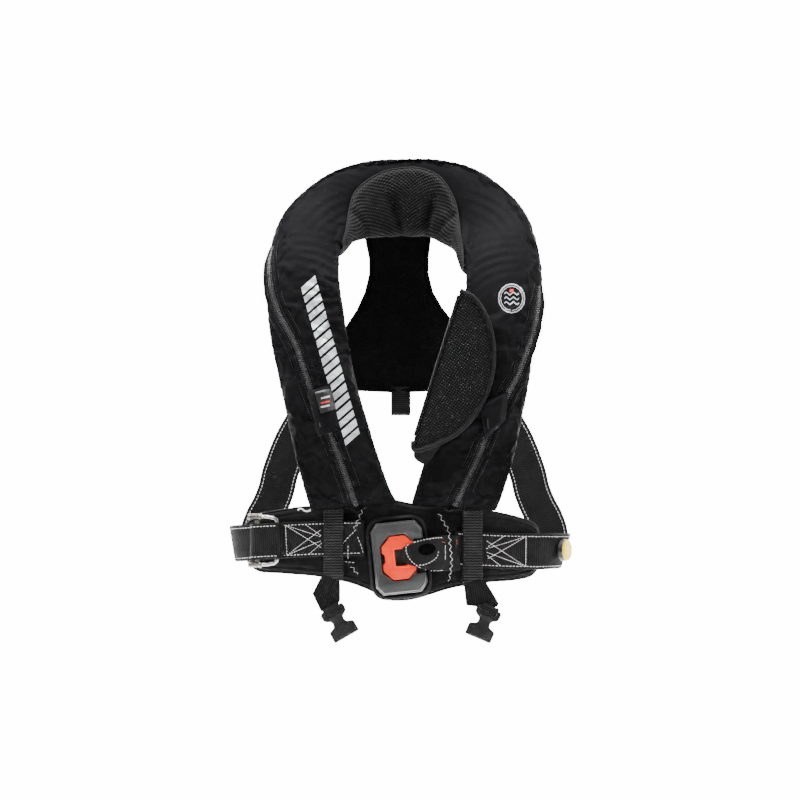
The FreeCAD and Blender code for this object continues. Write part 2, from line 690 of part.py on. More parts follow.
rivets = []
for x, z in ((-26.5, 24), (-26.5, -24), (24, 37), (24, -37)):
    rivets.append(Part.makeCylinder(3, 1.4, V(x, -18.1 - 1.4, z), V(0, 1, 0)))
free_shape("buckle_rivets", Part.makeCompound(rivets), buckle_place)

tongue_front = frame_rear - TONGUE_LIFT - dim("tongue_thick")
loop_front = tongue_front - 0.4 - web
loop_rear = frame_rear - TONGUE_LIFT + 2.5 + 0.4 + web
EYE_OUTER = (
    (-1.0, loop_front), (46, loop_front), (68, -98), (68, -93.4), (36, -96.4), (31.5, loop_rear),
    (-1.0, loop_rear),
)
EYE_INNER = (
    (1.4, loop_front + web), (44.6, loop_front + web), (60, -100.2), (37.5, -99.2), (33.6, loop_rear - web),
    (1.4, loop_rear - web),
)
EYE_SIDE = (
    (-1.2, -367), (1.7, -366.5), (3.5, -361), (7, -351), (60, -344), (69, -344), (69, -389), (30, -389),
    (4, -384), (1.7, -381.5), (-1.2, -381),
)
loop_outer = Part.Face(outline_wire(EYE_OUTER, 0.8, "XY"))
loop_inner = Part.Face(outline_wire(EYE_INNER, 0.6, "XY"))
loop_ring = loop_outer.cut(loop_inner)
loop_ring.translate(V(0, 0, -400))
loop_solid = loop_ring.extrude(V(0, 0, 70)).common(outline_prism(EYE_SIDE, 1.5, -140, -80))
free_shape("tether_loop", loop_solid)


# ---------------------------------------------------------------- belt adjuster

adjust_angle = -math.asin((dim("belt_middle_x") + 174) / belt_radius)
adjust_point = belt_point(adjust_angle, web_offset + web)
wire_radius = dim("wire_rad")
WIRE_LIFT = 4.8
adjust_place = turned(adjust_point.x, adjust_point.y, dim("belt_left_level"), 0, math.degrees(adjust_angle))
half_w = dim("bow_width") / 2 - wire_radius
half_h = dim("bow_height") / 2 - wire_radius


def wire_bow():
    """A steel wire bent to a U, its two legs pointing to local -X."""
    bend = 8.0
    reach = half_w - bend
    turn = bend * math.sqrt(0.5)
    edges = []
    for level in (-1, 1):
        z, inner = level * half_h, level * (half_h - bend)
        legs = [V(-half_w, 0, z), V(reach, 0, z)]
        corner = [legs[1], V(reach + turn, 0, inner + level * turn), V(half_w, 0, inner)]
        edges += [Part.LineSegment(*legs).toShape(), Part.Arc(*corner).toShape()]
    edges.append(Part.LineSegment(V(half_w, 0, bend - half_h), V(half_w, 0, half_h - bend)).toShape())
    spine = Part.Wire(Part.__sortEdges__(edges))
    profile = Part.Wire([Part.makeCircle(wire_radius, V(-half_w, 0, -half_h), V(1, 0, 0))])
    return spine.makePipeShell([profile], True, True)


bow_solid = wire_bow()
bow_solid.translate(V(0, -WIRE_LIFT, 0))
free_shape("adjuster_bow", bow_solid, adjust_place)

sleeve_length = dim("sleeve_length")
sleeve_bore = wire_radius + dim("sleeve_fit")
sleeves = []
for level in (-half_h, half_h):
    start = V(-half_w - 1, -WIRE_LIFT, level)
    tube = Part.makeCylinder(dim("sleeve_rad"), sleeve_length, start, V(1, 0, 0))
    sleeves.append(tube.cut(Part.makeCylinder(sleeve_bore, sleeve_length, start, V(1, 0, 0))))
free_shape("adjuster_sleeves", Part.makeCompound(sleeves), adjust_place)

BAR_WIDTH, BAR_THICK, BAR_PLACE = 6.0, 3.0, -12.0
bar_height = 2 * (half_h - dim("sleeve_rad")) - 0.1
bar_foot = V(BAR_PLACE, -WIRE_LIFT - BAR_THICK / 2, -bar_height / 2)
bar = Part.makeBox(BAR_WIDTH, BAR_THICK, bar_height, bar_foot)
free_shape("adjuster_tooth_bar", bar, adjust_place)


# ---------------------------------------------------------------- round button on the belt's right end

button_angle = math.radians(68)
button_point = belt_point(button_angle, web_offset + web + gap + 0.9)
button_turn = FreeCAD.Rotation(V(0, 0, 1), V(math.sin(button_angle), -math.cos(button_angle), 0))


def bound_cylinder(label, radius, height, placement):
    obj = doc.addObject("Part::Cylinder", label)
    obj.setExpression("Radius", radius)
    obj.setExpression("Height", height)
    obj.Placement = placement
    return keep(obj, label)


button_at = V(button_point.x, button_point.y, -362)
base_at = FreeCAD.Placement(button_at, button_turn)
bound_cylinder("side_button_base", "dims.button_rad", "dims.button_base_thick", base_at)
outward = button_turn.multVec(V(0, 0, 1))
cap_at = FreeCAD.Placement(button_at + outward * (dim("button_base_thick") + 0.1), button_turn)
bound_cylinder("side_button_cap", "dims.button_cap_rad", "dims.button_cap_thick", cap_at)


# ---------------------------------------------------------------- inside the lobes

INSIDE_LEAN = 13.7
TUBE_DROP = 45.0
kit_left = turned(-93.5, -93.5, -210, -INSIDE_LEAN)
kit_right = turned(93.5, -94, -210, INSIDE_LEAN)
cylinder_place = kit_left.multiply(turned(0, 0, 1))
bound_cylinder("gas_cylinder", "dims.cylinder_rad", "dims.cylinder_length", cylinder_place)

inflator = doc.addObject("Part::Box", "inflator_body")
inflator.setExpression("Length", "dims.inflator_width")
inflator.setExpression("Width", "dims.inflator_depth")
inflator.setExpression("Height", "dims.inflator_height")
inflator.Placement = kit_left.multiply(turned(-dim("inflator_width") / 2, -11, -dim("inflator_height")))
keep(inflator, "inflator_body")

LEVER_PIVOT = (-10.0, 4.0, -25.0)
LEVER = ((-4, 4), (4, 4), (4, -30), (-4, -30))
lever = doc.addObject("PartDesign::Body", "firing_lever")
lever_sketch = new_sketch(lever, "XZ_Plane", "firing_lever_outline")
draw_outline(lever_sketch, LEVER, 3)
lever_sketch.addGeometry(Part.Circle(V(0, 0, 0), V(0, 0, 1), dim("lever_pin_rad") + dim("sleeve_fit")), False)
pad(lever, lever_sketch, "dims.lever_thick", "firing_lever_pad")
px, py, pz = LEVER_PIVOT
lever.Placement = kit_left.multiply(turned(px, py + 0.4 + dim("lever_thick"), pz))
keep(lever, "firing_lever")
pin_place = kit_left.multiply(FreeCAD.Placement(V(px, py, pz), FreeCAD.Rotation(V(0, 0, 1), V(0, 1, 0))))
bound_cylinder("lever_pin", "dims.lever_pin_rad", "dims.lever_thick + 1", pin_place)

bound_cylinder("oral_tube", "dims.tube_rad", "dims.tube_length", kit_right.multiply(turned(0, 0, -TUBE_DROP)))
cap_bore_rad = dim("tube_rad") + dim("sleeve_fit")
cap_depth = dim("cap_length") - dim("cap_wall")
cap_outer = Part.makeCylinder(cap_bore_rad + dim("cap_wall"), dim("cap_length"))
cap_bore = Part.makeCylinder(cap_bore_rad, cap_depth)
cap_place = kit_right.multiply(turned(0, 0, dim("tube_length") - TUBE_DROP - cap_depth + gap))
free_shape("oral_cap", cap_outer.cut(cap_bore), cap_place)
WHISTLE = ((-8, -22), (8, -22), (8, 10), (5, 22), (-5, 22), (-8, 10))
plate_body("whistle", WHISTLE, 2, "dims.whistle_thick", kit_right.multiply(turned(-23, 2, -20)))


# ---------------------------------------------------------------- check and write

doc.recompute()
for obj in doc.Objects:
    if "Invalid" in obj.State or "Error" in obj.State:
        raise RuntimeError(f"{obj.Label} failed: {obj.State}")
labels = [obj.Label for obj in subparts]
if len(labels) != len(set(labels)):
    raise RuntimeError("two sub-parts share a label")
for obj in subparts:
    shape = obj.Shape
    if shape.isNull() or not shape.isValid() or not shape.Solids:
        raise RuntimeError(f"{obj.Label} has no valid solid")
    shape.exportStep(f"parts/{obj.Label}.step")
    print(f"{obj.Label:24s} solids {len(shape.Solids)} volume {shape.Volume / 1000:8.2f} cm3")
print(len(subparts), "sub-parts")
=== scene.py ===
import json
import math

import bmesh
import bpy
import numpy as np
from mathutils import Matrix, Vector, noise
from mathutils.bvhtree import BVHTree

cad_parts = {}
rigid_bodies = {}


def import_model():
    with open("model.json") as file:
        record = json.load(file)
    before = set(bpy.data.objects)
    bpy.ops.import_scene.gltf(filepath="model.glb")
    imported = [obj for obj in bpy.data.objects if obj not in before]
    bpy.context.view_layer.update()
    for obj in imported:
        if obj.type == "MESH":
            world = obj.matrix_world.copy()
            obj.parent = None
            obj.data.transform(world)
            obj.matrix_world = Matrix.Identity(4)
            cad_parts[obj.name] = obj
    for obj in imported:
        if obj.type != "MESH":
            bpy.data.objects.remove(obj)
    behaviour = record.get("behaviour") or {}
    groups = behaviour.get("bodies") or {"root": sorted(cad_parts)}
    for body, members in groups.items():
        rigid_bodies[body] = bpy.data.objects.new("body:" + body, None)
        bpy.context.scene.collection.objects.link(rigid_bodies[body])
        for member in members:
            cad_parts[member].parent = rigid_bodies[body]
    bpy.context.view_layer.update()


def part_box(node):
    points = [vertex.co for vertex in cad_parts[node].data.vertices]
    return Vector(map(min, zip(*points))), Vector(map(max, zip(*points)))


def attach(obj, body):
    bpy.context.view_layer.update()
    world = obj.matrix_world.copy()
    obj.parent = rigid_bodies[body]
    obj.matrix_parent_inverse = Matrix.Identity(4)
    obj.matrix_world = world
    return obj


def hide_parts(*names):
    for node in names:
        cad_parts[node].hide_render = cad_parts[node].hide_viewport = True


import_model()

# Inflatable life jacket, seen from the front. Metres; sizes below are written in millimetres times MM.
MM = 0.001
FRONT = Vector((0, -1, 0))
SIDES = (("left", -1), ("right", 1))
scene = bpy.context.scene


# ---------------------------------------------------------------- camera, light and floor

CAMERA_PLACE, CAMERA_LENS = (-0.005, -24.1, -0.175), 864.0
# Each light: its place, what it aims at, its size and its power.
LIGHTS = {
    "key": ((-1.6, -1.5, 1.7), (0, 0, -0.15), (0.8, 0.8), 46),
    "fill": ((1.8, -1.5, 0.9), (0, 0, -0.2), (0.8, 1.2), 30),
    "top": ((0.0, -0.25, 1.5), (0, 0, 0.05), (1.6, 0.5), 105),
}
for x in (-2.4, 0.0, 2.4):
    LIGHTS[f"backdrop_{x:.0f}"] = ((x, 0.7, 0.9), (x * 0.7, 3.0, -0.3), (1.4, 1.4), 300)
SURROUND_LIGHT, SURROUND_SEEN = 0.20, 15.0


def add_camera():
    data = bpy.data.cameras.new("camera")
    data.sensor_width, data.lens = 36.0, CAMERA_LENS
    data.clip_end = 100
    camera = bpy.data.objects.new("camera", data)
    camera.location = CAMERA_PLACE
    camera.rotation_euler = (math.radians(90), 0, 0)
    scene.collection.objects.link(camera)
    scene.camera = camera


def area_light(name, place, aim, size, power):
    data = bpy.data.lights.new(name, "AREA")
    data.shape, data.size, data.size_y, data.energy = "RECTANGLE", size[0], size[1], power
    light = bpy.data.objects.new(name, data)
    light.location = place
    light.rotation_euler = (Vector(aim) - Vector(place)).to_track_quat("-Z", "Y").to_euler()
    scene.collection.objects.link(light)


def add_lights():
    for name, (place, aim, size, power) in LIGHTS.items():
        area_light(name, place, aim, size, power)
    add_world(SURROUND_LIGHT, SURROUND_SEEN)


def add_world(light, seen):
    """A white surround: it lights the jacket softly, and is plain white behind it from every side."""
    world = bpy.data.worlds.new("studio")
    world.use_nodes = True
    nodes, links = world.node_tree.nodes, world.node_tree.links
    soft, white = nodes["Background"], nodes.new("ShaderNodeBackground")
    for node, strength in ((soft, light), (white, seen)):
        node.inputs["Color"].default_value = (1, 1, 1, 1)
        node.inputs["Strength"].default_value = strength
    mix = nodes.new("ShaderNodeMixShader")
    links.new(nodes.new("ShaderNodeLightPath").outputs["Is Camera Ray"], mix.inputs[0])
    links.new(soft.outputs[0], mix.inputs[1])
    links.new(white.outputs[0], mix.inputs[2])
    links.new(mix.outputs[0], nodes["World Output"].inputs["Surface"])
    scene.world = world


def add_floor():
    """A pale floor, and a lit wall behind the jacket that only throws light, so it hides no view."""
    floor_z, reach, wall, height = -0.80, 5.0, 2.0, 5.0
    for name, profile in (("floor", [(-reach, floor_z), (reach, floor_z)]),
                          ("wall", [(wall, floor_z), (wall, height)])):
        points = np.array([[(x, y, z) for y, z in profile] for x in (-8.0, 8.0)])
        plane = grid_piece(name, points)
        plane.data.materials.append(plain_floor())
        plane.visible_camera = name == "floor"


# ---------------------------------------------------------------- mesh helpers

def mesh_piece(name, vertices, faces):
    mesh = bpy.data.meshes.new(name)
    mesh.from_pydata([tuple(v) for v in vertices], [], [tuple(f) for f in faces])
    mesh.update()
    mesh.polygons.foreach_set("use_smooth", [True] * len(mesh.polygons))
    obj = bpy.data.objects.new(name, mesh)
    scene.collection.objects.link(obj)
    return obj


def grid_faces(n, m, wrap_v=False):
    """Quads of an n by m grid of points, row after row."""
    nu, nv = n - 1, (m if wrap_v else m - 1)
    u, v = np.meshgrid(np.arange(nu), np.arange(nv), indexing="ij")
    u, v = u.ravel(), v.ravel()
    u2, v2 = u + 1, (v + 1) % m
    return np.stack([u * m + v, u2 * m + v, u2 * m + v2, u * m + v2], axis=1)


def grid_piece(name, points, wrap_v=False, caps=False, cloth=None):
    """A quad mesh over a grid of points, with caps at both ends of a tube and a cloth coordinate."""
    n, m = points.shape[:2]
    faces = [tuple(f) for f in grid_faces(n, m, wrap_v)]
    if caps:
        faces.append(tuple(range(m))[::-1])
        faces.append(tuple(range((n - 1) * m, n * m)))
    obj = mesh_piece(name, points.reshape(-1, 3), faces)
    if cloth is not None:
        layer = obj.data.attributes.new("cloth", "FLOAT_VECTOR", "POINT")
        layer.data.foreach_set("vector", cloth.reshape(-1, 3).astype(np.float32).ravel())
    return obj


def spline_weights(count, samples):
    """Catmull-Rom weights that resample count points to samples points."""
    t = np.linspace(0, count - 1, samples)
    i = np.clip(t.astype(int), 0, count - 2)
    f = t - i
    w = np.zeros((samples, count))
    parts = (
        -0.5 * f + f**2 - 0.5 * f**3,
        1 - 2.5 * f**2 + 1.5 * f**3,
        0.5 * f + 2 * f**2 - 1.5 * f**3,
        -0.5 * f**2 + 0.5 * f**3,
    )
    for k, part in enumerate(parts):
        index = i + k - 1
        low, high = index < 0, index > count - 1
        inside = ~(low | high)
        rows = np.arange(samples)
        np.add.at(w, (rows[inside], index[inside]), part[inside])
        np.add.at(w, (rows[low], np.zeros(low.sum(), int)), 2 * part[low])
        np.add.at(w, (rows[low], np.ones(low.sum(), int)), -part[low])
        np.add.at(w, (rows[high], np.full(high.sum(), count - 1)), 2 * part[high])
        np.add.at(w, (rows[high], np.full(high.sum(), count - 2)), -part[high])
    return w


def run_along(points):
    """How far along its line each point lies."""
    return np.concatenate([[0], np.cumsum(np.linalg.norm(np.diff(points, axis=0), axis=1))])


def smooth_path(points, step=None, samples=None):
    """Points of a smooth curve through the given ones, evenly spaced."""
    p = np.asarray(points, float)
    dense = spline_weights(len(p), 40 * len(p)) @ p
    run = run_along(dense)
    count = samples or max(3, int(round(run[-1] / step)) + 1)
    at = np.linspace(0, run[-1], count)
    return np.stack([np.interp(at, run, dense[:, k]) for k in range(p.shape[1])], axis=1)


def upsample(grid, n, m):
    """A smoothly resampled copy of a grid of points."""
    a, b = spline_weights(grid.shape[0], n), spline_weights(grid.shape[1], m)
    return np.einsum("ik,jl,klc->ijc", a, b, grid)


def grid_normals(grid):
    du = np.gradient(grid, axis=0)
    dv = np.gradient(grid, axis=1)
    normal = np.cross(du, dv)
    return normal / np.maximum(np.linalg.norm(normal, axis=2, keepdims=True), 1e-9)


def unit(v):
    v = np.asarray(v, float)
    return v / np.maximum(np.linalg.norm(v, axis=-1, keepdims=True), 1e-9)


def noise_at(points, scale, seed=0.0):
    """Smooth noise from -1 to 1 at each point."""
    flat = np.asarray(points, float).reshape(-1, 3) * scale + seed
    values = [noise.noise(Vector(p)) for p in flat]
    return np.array(values).reshape(np.asarray(points).shape[:-1])


def tree_of(obj):
    mesh = obj.data
    vertices = [v.co.copy() for v in mesh.vertices]
    return BVHTree.FromPolygons(vertices, [tuple(p.vertices) for p in mesh.polygons])


def drop(tree, x, z):
    """The first surface point behind (x, z), seen from the front, and its normal."""
    hit, normal, _, _ = tree.ray_cast(Vector((x, -0.6, z)), Vector((0, 1, 0)))
    if hit is None:
        hit, normal, _, _ = tree.find_nearest(Vector((x, -0.1, z)))
    if normal.y > 0:
        normal = -normal
    return np.array(hit), np.array(normal)


CAD_NODES = {obj.name for obj in bpy.data.objects}


def finish_piece(obj, material, body, replaces=()):
    obj.data.materials.clear()
    obj.data.materials.append(MAT[material])
    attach(obj, body)
    if replaces:
        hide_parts(*replaces)


def join_parts(name, parts):
    """One mesh from several lists of vertices and faces."""
    vertices, faces = [], []
    for v, f in parts:
        start = len(vertices)
        vertices.extend(v)
        faces.extend([tuple(i + start for i in face) for face in f])
    return mesh_piece(name, vertices, faces)


def finish_parts(name, parts, material, body, replaces=()):
    finish_piece(join_parts(name, parts), material, body, replaces)


def tube_part(path, radius, sides=8):
    """Vertices and faces of a round tube along a path; radius may be one number or one per point."""
    p = np.asarray(path, float)
    n = len(p)
    along = unit(np.gradient(p, axis=0))
    side = np.cross(along[0], (0.3, 0.5, 0.8))
    side = side / np.linalg.norm(side)
    rings = []
    radii = np.broadcast_to(radius, (n,))
    for i in range(n):
        side = side - along[i] * np.dot(side, along[i])
        side = side / np.linalg.norm(side)
        other = np.cross(along[i], side)
        angles = np.linspace(0, 2 * math.pi, sides, endpoint=False)
        ring = p[i] + radii[i] * (np.outer(np.cos(angles), side) + np.outer(np.sin(angles), other))
        rings.append(ring)
    vertices = np.concatenate(rings)
    faces = [tuple(f) for f in grid_faces(n, sides, True)]
    faces.append(tuple(range(sides))[::-1])
    faces.append(tuple(range((n - 1) * sides, n * sides)))
    return list(map(tuple, vertices)), faces


def stitch_parts(path, normals, length=3.0, gap=2.0, radius=0.55, sink=0.25):
    """Short rounded threads along a path that lies on cloth."""
    p, nrm = np.asarray(path, float), np.asarray(normals, float)
    run = run_along(p)
    length, gap, radius, sink = length * MM, gap * MM, radius * MM, sink * MM
    at, parts = 0.0, []
    while at + length <= run[-1] + 1e-9:
        t = np.array([0.0, 0.12, 0.35, 0.65, 0.88, 1.0]) * length + at
        line = np.stack([np.interp(t, run, p[:, k]) for k in range(3)], axis=1)
        lift = np.stack([np.interp(t, run, nrm[:, k]) for k in range(3)], axis=1)
        hump = np.array([-0.9, 0.1, 1.0, 1.0, 0.1, -0.9]) * radius * 0.6 - sink * 0.3
        thread_radius = radius * np.array([0.5, 0.9, 1, 1, 0.9, 0.5])
        parts.append(tube_part(line + unit(lift) * hump[:, None], thread_radius, 6))
        at += length + gap
    return parts


def plate(name, loops, front_y, thick, bevel=0.8, place=None, steps=3):
    """A flat piece in the XZ plane with rounded edges: the first loop is its outline, the rest are holes."""
    data = bpy.data.curves.new(name + "_curve", "CURVE")
    data.dimensions, data.fill_mode = "2D", "BOTH"
    data.extrude = (thick / 2 - bevel) * MM
    data.bevel_depth, data.bevel_resolution, data.offset = bevel * MM, steps, -bevel * MM
    for loop in loops:
        spline = data.splines.new("POLY")
        spline.points.add(len(loop) - 1)
        for target, (x, z) in zip(spline.points, loop):
            target.co = (x * MM, z * MM, 0, 1)
        spline.use_cyclic_u = True
    holder = bpy.data.objects.new(name + "_curve", data)
    scene.collection.objects.link(holder)
    bpy.context.view_layer.update()
    mesh = bpy.data.meshes.new_from_object(holder.evaluated_get(bpy.context.evaluated_depsgraph_get()))
    bpy.data.objects.remove(holder)
    mesh.name = name
    obj = bpy.data.objects.new(name, mesh)
    scene.collection.objects.link(obj)
    middle = front_y * MM + thick * MM / 2
    for vertex in mesh.vertices:
        x, z, depth = vertex.co
        vertex.co = (x, middle - depth, z)
        if place is not None:
            vertex.co = place @ vertex.co
    mesh.update()
    weld(obj)
    return obj


def weld(obj, sharp=35):
    """Joins doubled points, points the faces outwards and shades by angle."""
    work = bmesh.new()
    work.from_mesh(obj.data)
    bmesh.ops.remove_doubles(work, verts=work.verts, dist=2e-6)
    bmesh.ops.recalc_face_normals(work, faces=work.faces)
    work.to_mesh(obj.data)
    work.free()
    obj.data.polygons.foreach_set("use_smooth", [True] * len(obj.data.polygons))
    obj.data.set_sharp_from_angle(angle=math.radians(sharp))


def round_corners(points, radius, steps=5):
    """The outline with its corners rounded."""
    result, count = [], len(points)
    for i in range(count):
        here, back, ahead = (Vector(points[k % count]) for k in (i, i - 1, i + 1))
        a, b = (back - here), (ahead - here)
        half = a.angle(b) / 2
        if half > math.radians(88):
            result.append(tuple(here))
            continue
        reach = min(radius / math.tan(half), 0.45 * a.length, 0.45 * b.length)
        start, end = here + a.normalized() * reach, here + b.normalized() * reach
        for k in range(steps + 1):
            t = k / steps
            result.append(tuple(start * (1 - t) ** 2 + here * 2 * t * (1 - t) + end * t * t))
    return result


# ---------------------------------------------------------------- materials

class Shader:
    """A small helper round one material's nodes."""

    def __init__(self, name, color, rough, **sockets):
        self.material = bpy.data.materials.new(name)
        self.material.use_nodes = True
        self.tree = self.material.node_tree
        self.surface = self.tree.nodes["Principled BSDF"]
        self.surface.inputs["Base Color"].default_value = (*color, 1)
        self.surface.inputs["Roughness"].default_value = rough
        for key, value in sockets.items():
            self.surface.inputs[key.replace("_", " ").title().replace("Ior", "IOR")].default_value = value
        self.color = (*color, 1)

    def node(self, kind, **values):
        made = self.tree.nodes.new(kind)
        for key, value in values.items():
            if hasattr(made, key):
                setattr(made, key, value)
            else:
                made.inputs[key.replace("_", " ").title()].default_value = value
        return made

    def link(self, a, b):
        self.tree.links.new(a, b)

    def place(self, kind="Object"):
        if kind == "cloth":
            return self.node("ShaderNodeAttribute", attribute_name="cloth").outputs["Vector"]
        return self.node("ShaderNodeTexCoord").outputs[kind]

    def noise(self, scale, detail=3.0, kind="Object", stretch=None):
        tex = self.node("ShaderNodeTexNoise", scale=scale, detail=detail)
        place = self.place(kind)
        if stretch:
            mapping = self.node("ShaderNodeMapping")
            mapping.inputs["Scale"].default_value = stretch
            self.link(place, mapping.inputs["Vector"])
            place = mapping.outputs["Vector"]
        self.link(place, tex.inputs["Vector"])
        return tex.outputs["Fac"]

    def wave(self, scale, direction, kind="Object", profile="SIN", distortion=0.0):
        tex = self.node("ShaderNodeTexWave", scale=scale, distortion=distortion)
        tex.bands_direction, tex.wave_profile = direction, profile
        self.link(self.place(kind), tex.inputs["Vector"])
        return tex.outputs["Fac"]

    def math(self, operation, a, b):
        made = self.node("ShaderNodeMath")
        made.operation = operation
        for socket, value in zip(made.inputs, (a, b)):
            if isinstance(value, (int, float)):
                socket.default_value = value
            else:
                self.link(value, socket)
        return made.outputs[0]

    def bump(self, height, strength, distance):
        made = self.node("ShaderNodeBump")
        made.inputs["Strength"].default_value = strength
        made.inputs["Distance"].default_value = distance
        self.link(height, made.inputs["Height"])
        before = self.surface.inputs["Normal"]
        if before.links:
            self.link(before.links[0].from_socket, made.inputs["Normal"])
        self.link(made.outputs["Normal"], before)

    def vary(self, factor, low, high, contrast=(0.35, 0.65)):
        """Colour variation between two multiples of the base colour."""
        ramp = self.node("ShaderNodeValToRGB")
        ramp.color_ramp.elements[0].position, ramp.color_ramp.elements[1].position = contrast
        ramp.color_ramp.elements[0].color = [min(1, c * low) for c in self.color[:3]] + [1]
        ramp.color_ramp.elements[1].color = [min(1, c * high) for c in self.color[:3]] + [1]
        self.link(factor, ramp.inputs["Fac"])
        self.link(ramp.outputs["Color"], self.surface.inputs["Base Color"])

    def roughen(self, factor, low, high):
        span = self.node("ShaderNodeMapRange")
        span.inputs["To Min"].default_value, span.inputs["To Max"].default_value = low, high
        self.link(factor, span.inputs["Value"])
        self.link(span.outputs["Result"], self.surface.inputs["Roughness"])


def weave(shader, pitch, depth):
    """A plain weave: two crossed sets of threads, as bump."""
    frequency = 1 / (pitch * MM) / 3.2
    first = shader.wave(frequency, "DIAGONAL", distortion=0.4)
    second = shader.wave(frequency, "Z", distortion=0.4)
    crossed = shader.math("MULTIPLY", first, second)
    shader.bump(crossed, 0.5, depth * MM)


def plain_floor():
    shader = Shader("floor_paint", (0.93, 0.93, 0.93), 0.9)
    shader.vary(shader.noise(3.0), 0.99, 1.01)
    return shader.material


def cover_nylon():
    shader = Shader("cover_nylon", (0.0056, 0.0054, 0.0060), 0.62, specular_ior_level=0.03)
    shader.vary(shader.noise(14, 5), 0.8, 1.25)
    shader.roughen(shader.noise(40, 4), 0.60, 0.78)
    weave(shader, 0.9, 0.10)
    shader.bump(shader.noise(170, 6), 0.25, 0.0009)
    return shader.material


def hollow_shaded_cloth(name, high, low, rough, level):
    """Cloth whose hollows are painted darker than its ridges as painted shade, with random wear in the tone;
    the mesh carries the hollows in its cloth attribute.
    """
    shader = Shader(name, high, rough, specular_ior_level=level)
    split = shader.node("ShaderNodeSeparateXYZ")
    shader.link(shader.place("cloth"), split.inputs["Vector"])
    wear = shader.math("MULTIPLY", shader.noise(60, 4), 0.5)
    hollow = shader.math("ADD", split.outputs["Z"], shader.math("SUBTRACT", wear, 0.25))
    # The ramp runs from the ridge colour to the hollow colour: the darker hollows are painted shade, and the
    # noise on top is random wear.
    ramp = shader.node("ShaderNodeValToRGB")
    ramp.color_ramp.elements[0].position, ramp.color_ramp.elements[1].position = 0.1, 0.75
    ramp.color_ramp.elements[0].color = (*high, 1)
    ramp.color_ramp.elements[1].color = (*low, 1)
    shader.link(hollow, ramp.inputs["Fac"])
    shader.link(ramp.outputs["Color"], shader.surface.inputs["Base Color"])
    shader.bump(shader.noise(1400, 3), 0.4, 0.0004)
    return shader.material


# Ridge colour, then the holes darkened as painted shade.
def mesh_cloth():
    return hollow_shaded_cloth("mesh_cloth", (0.0135, 0.0135, 0.0140), (0.0006, 0.0006, 0.0006), 0.6, 0.12)


def fine_mesh():
    shader = Shader("fine_mesh", (0.0016, 0.0016, 0.0018), 0.85, specular_ior_level=0.08)
    cells = shader.node("ShaderNodeTexVoronoi", scale=520.0)
    shader.link(shader.place(), cells.inputs["Vector"])
    # Darker in the middle of each cell, where the bump below sinks it: painted shade in the mesh's pits.
    shader.vary(cells.outputs["Distance"], 0.5, 1.6)
    shader.bump(cells.outputs["Distance"], 0.6, 0.0006)
    return shader.material


# Rib colour, then the hollows between ribs darkened as painted shade.
def webbing_cloth():
    return hollow_shaded_cloth("webbing_cloth", (0.0150, 0.0150, 0.0152), (0.0012, 0.0012, 0.0012), 0.75, 0.10)


# Rib colour, then the hollows between ribs darkened as painted shade.
def loop_cloth():
    return hollow_shaded_cloth("loop_cloth", (0.0260, 0.0260, 0.0262), (0.0010, 0.0010, 0.0010), 0.7, 0.12)


def grained(name, color, rough, spread, grain, **sockets):
    """Spread is (noise scale, detail, darkest, palest); grain is (noise scale, detail, strength, depth)."""
    shader = Shader(name, color, rough, **sockets)
    shader.vary(shader.noise(*spread[:2]), *spread[2:])
    shader.bump(shader.noise(*grain[:2]), *grain[2:])
    return shader.material


def binding_tape():
    return grained("binding_tape", (0.0046, 0.0046, 0.005), 0.6, (120, 3, 0.7, 1.4),
                   (1100, 3, 0.5, 0.0005), specular_ior_level=0.16)


def edge_tape():
    return grained("edge_tape", (0.0016, 0.0016, 0.0018), 0.9, (160, 3, 0.6, 1.5), (1400, 3, 0.5, 0.0004),
                   specular_ior_level=0.03)


def pad_cloth():
    shader = Shader("pad_cloth", (0.0036, 0.0036, 0.004), 0.68, specular_ior_level=0.14)
    shader.vary(shader.noise(50, 4), 0.7, 1.35)
    weave(shader, 1.1, 0.18)
    shader.bump(shader.noise(300, 4), 0.4, 0.0008)
    return shader.material


def thread():
    return grained("white_thread", (0.78, 0.78, 0.76), 0.6, (400, 3, 0.8, 1.1), (2500, 2, 0.5, 0.0003),
                   sheen_weight=0.2)


def dark_thread():
    return grained("dark_thread", (0.012, 0.012, 0.013), 0.6, (400, 3, 0.7, 1.4), (2500, 2, 0.5, 0.0003))


def dyed_thread():
    return grained("red_thread", (0.22, 0.035, 0.035), 0.6, (400, 3, 0.7, 1.3), (2500, 2, 0.5, 0.0003))


def film():
    shader = Shader("bladder_film", (0.72, 0.60, 0.06), 0.4, sheen_weight=0.05)
    shader.vary(shader.noise(30, 4), 0.8, 1.15)
    weave(shader, 1.0, 0.08)
    return shader.material


def reflective():
    return grained("reflective_film", (0.60, 0.62, 0.63), 0.42, (90, 5, 0.75, 1.12), (700, 4, 0.3, 0.0003),
                   metallic=0.25)


def tape_cloth():
    return grained("zip_tape_cloth", (0.0075, 0.0075, 0.008), 0.75, (140, 3, 0.7, 1.4),
                   (1300, 2, 0.6, 0.0005), specular_ior_level=0.05)


def plastic(name, color, rough, grain=900.0, depth=0.0002, wear=1.25, level=0.5):
    shader = Shader(name, color, rough, coat_weight=0.04, specular_ior_level=level)
    shader.vary(shader.noise(25, 4), 0.85, wear)
    shader.roughen(shader.noise(120, 3), rough - 0.08, rough + 0.1)
    shader.bump(shader.noise(grain, 3), 0.4, depth)
    return shader.material


def steel(name="steel", color=(0.50, 0.48, 0.45)):
    shader = Shader(name, color, 0.24, metallic=1.0)
    shader.vary(shader.noise(60, 4), 0.8, 1.1)
    shader.roughen(shader.noise(200, 3, stretch=(1, 1, 8)), 0.18, 0.38)
    shader.bump(shader.noise(600, 3, stretch=(1, 1, 10)), 0.15, 0.0002)
    return shader.material


# ---------------------------------------------------------------- bladder cover

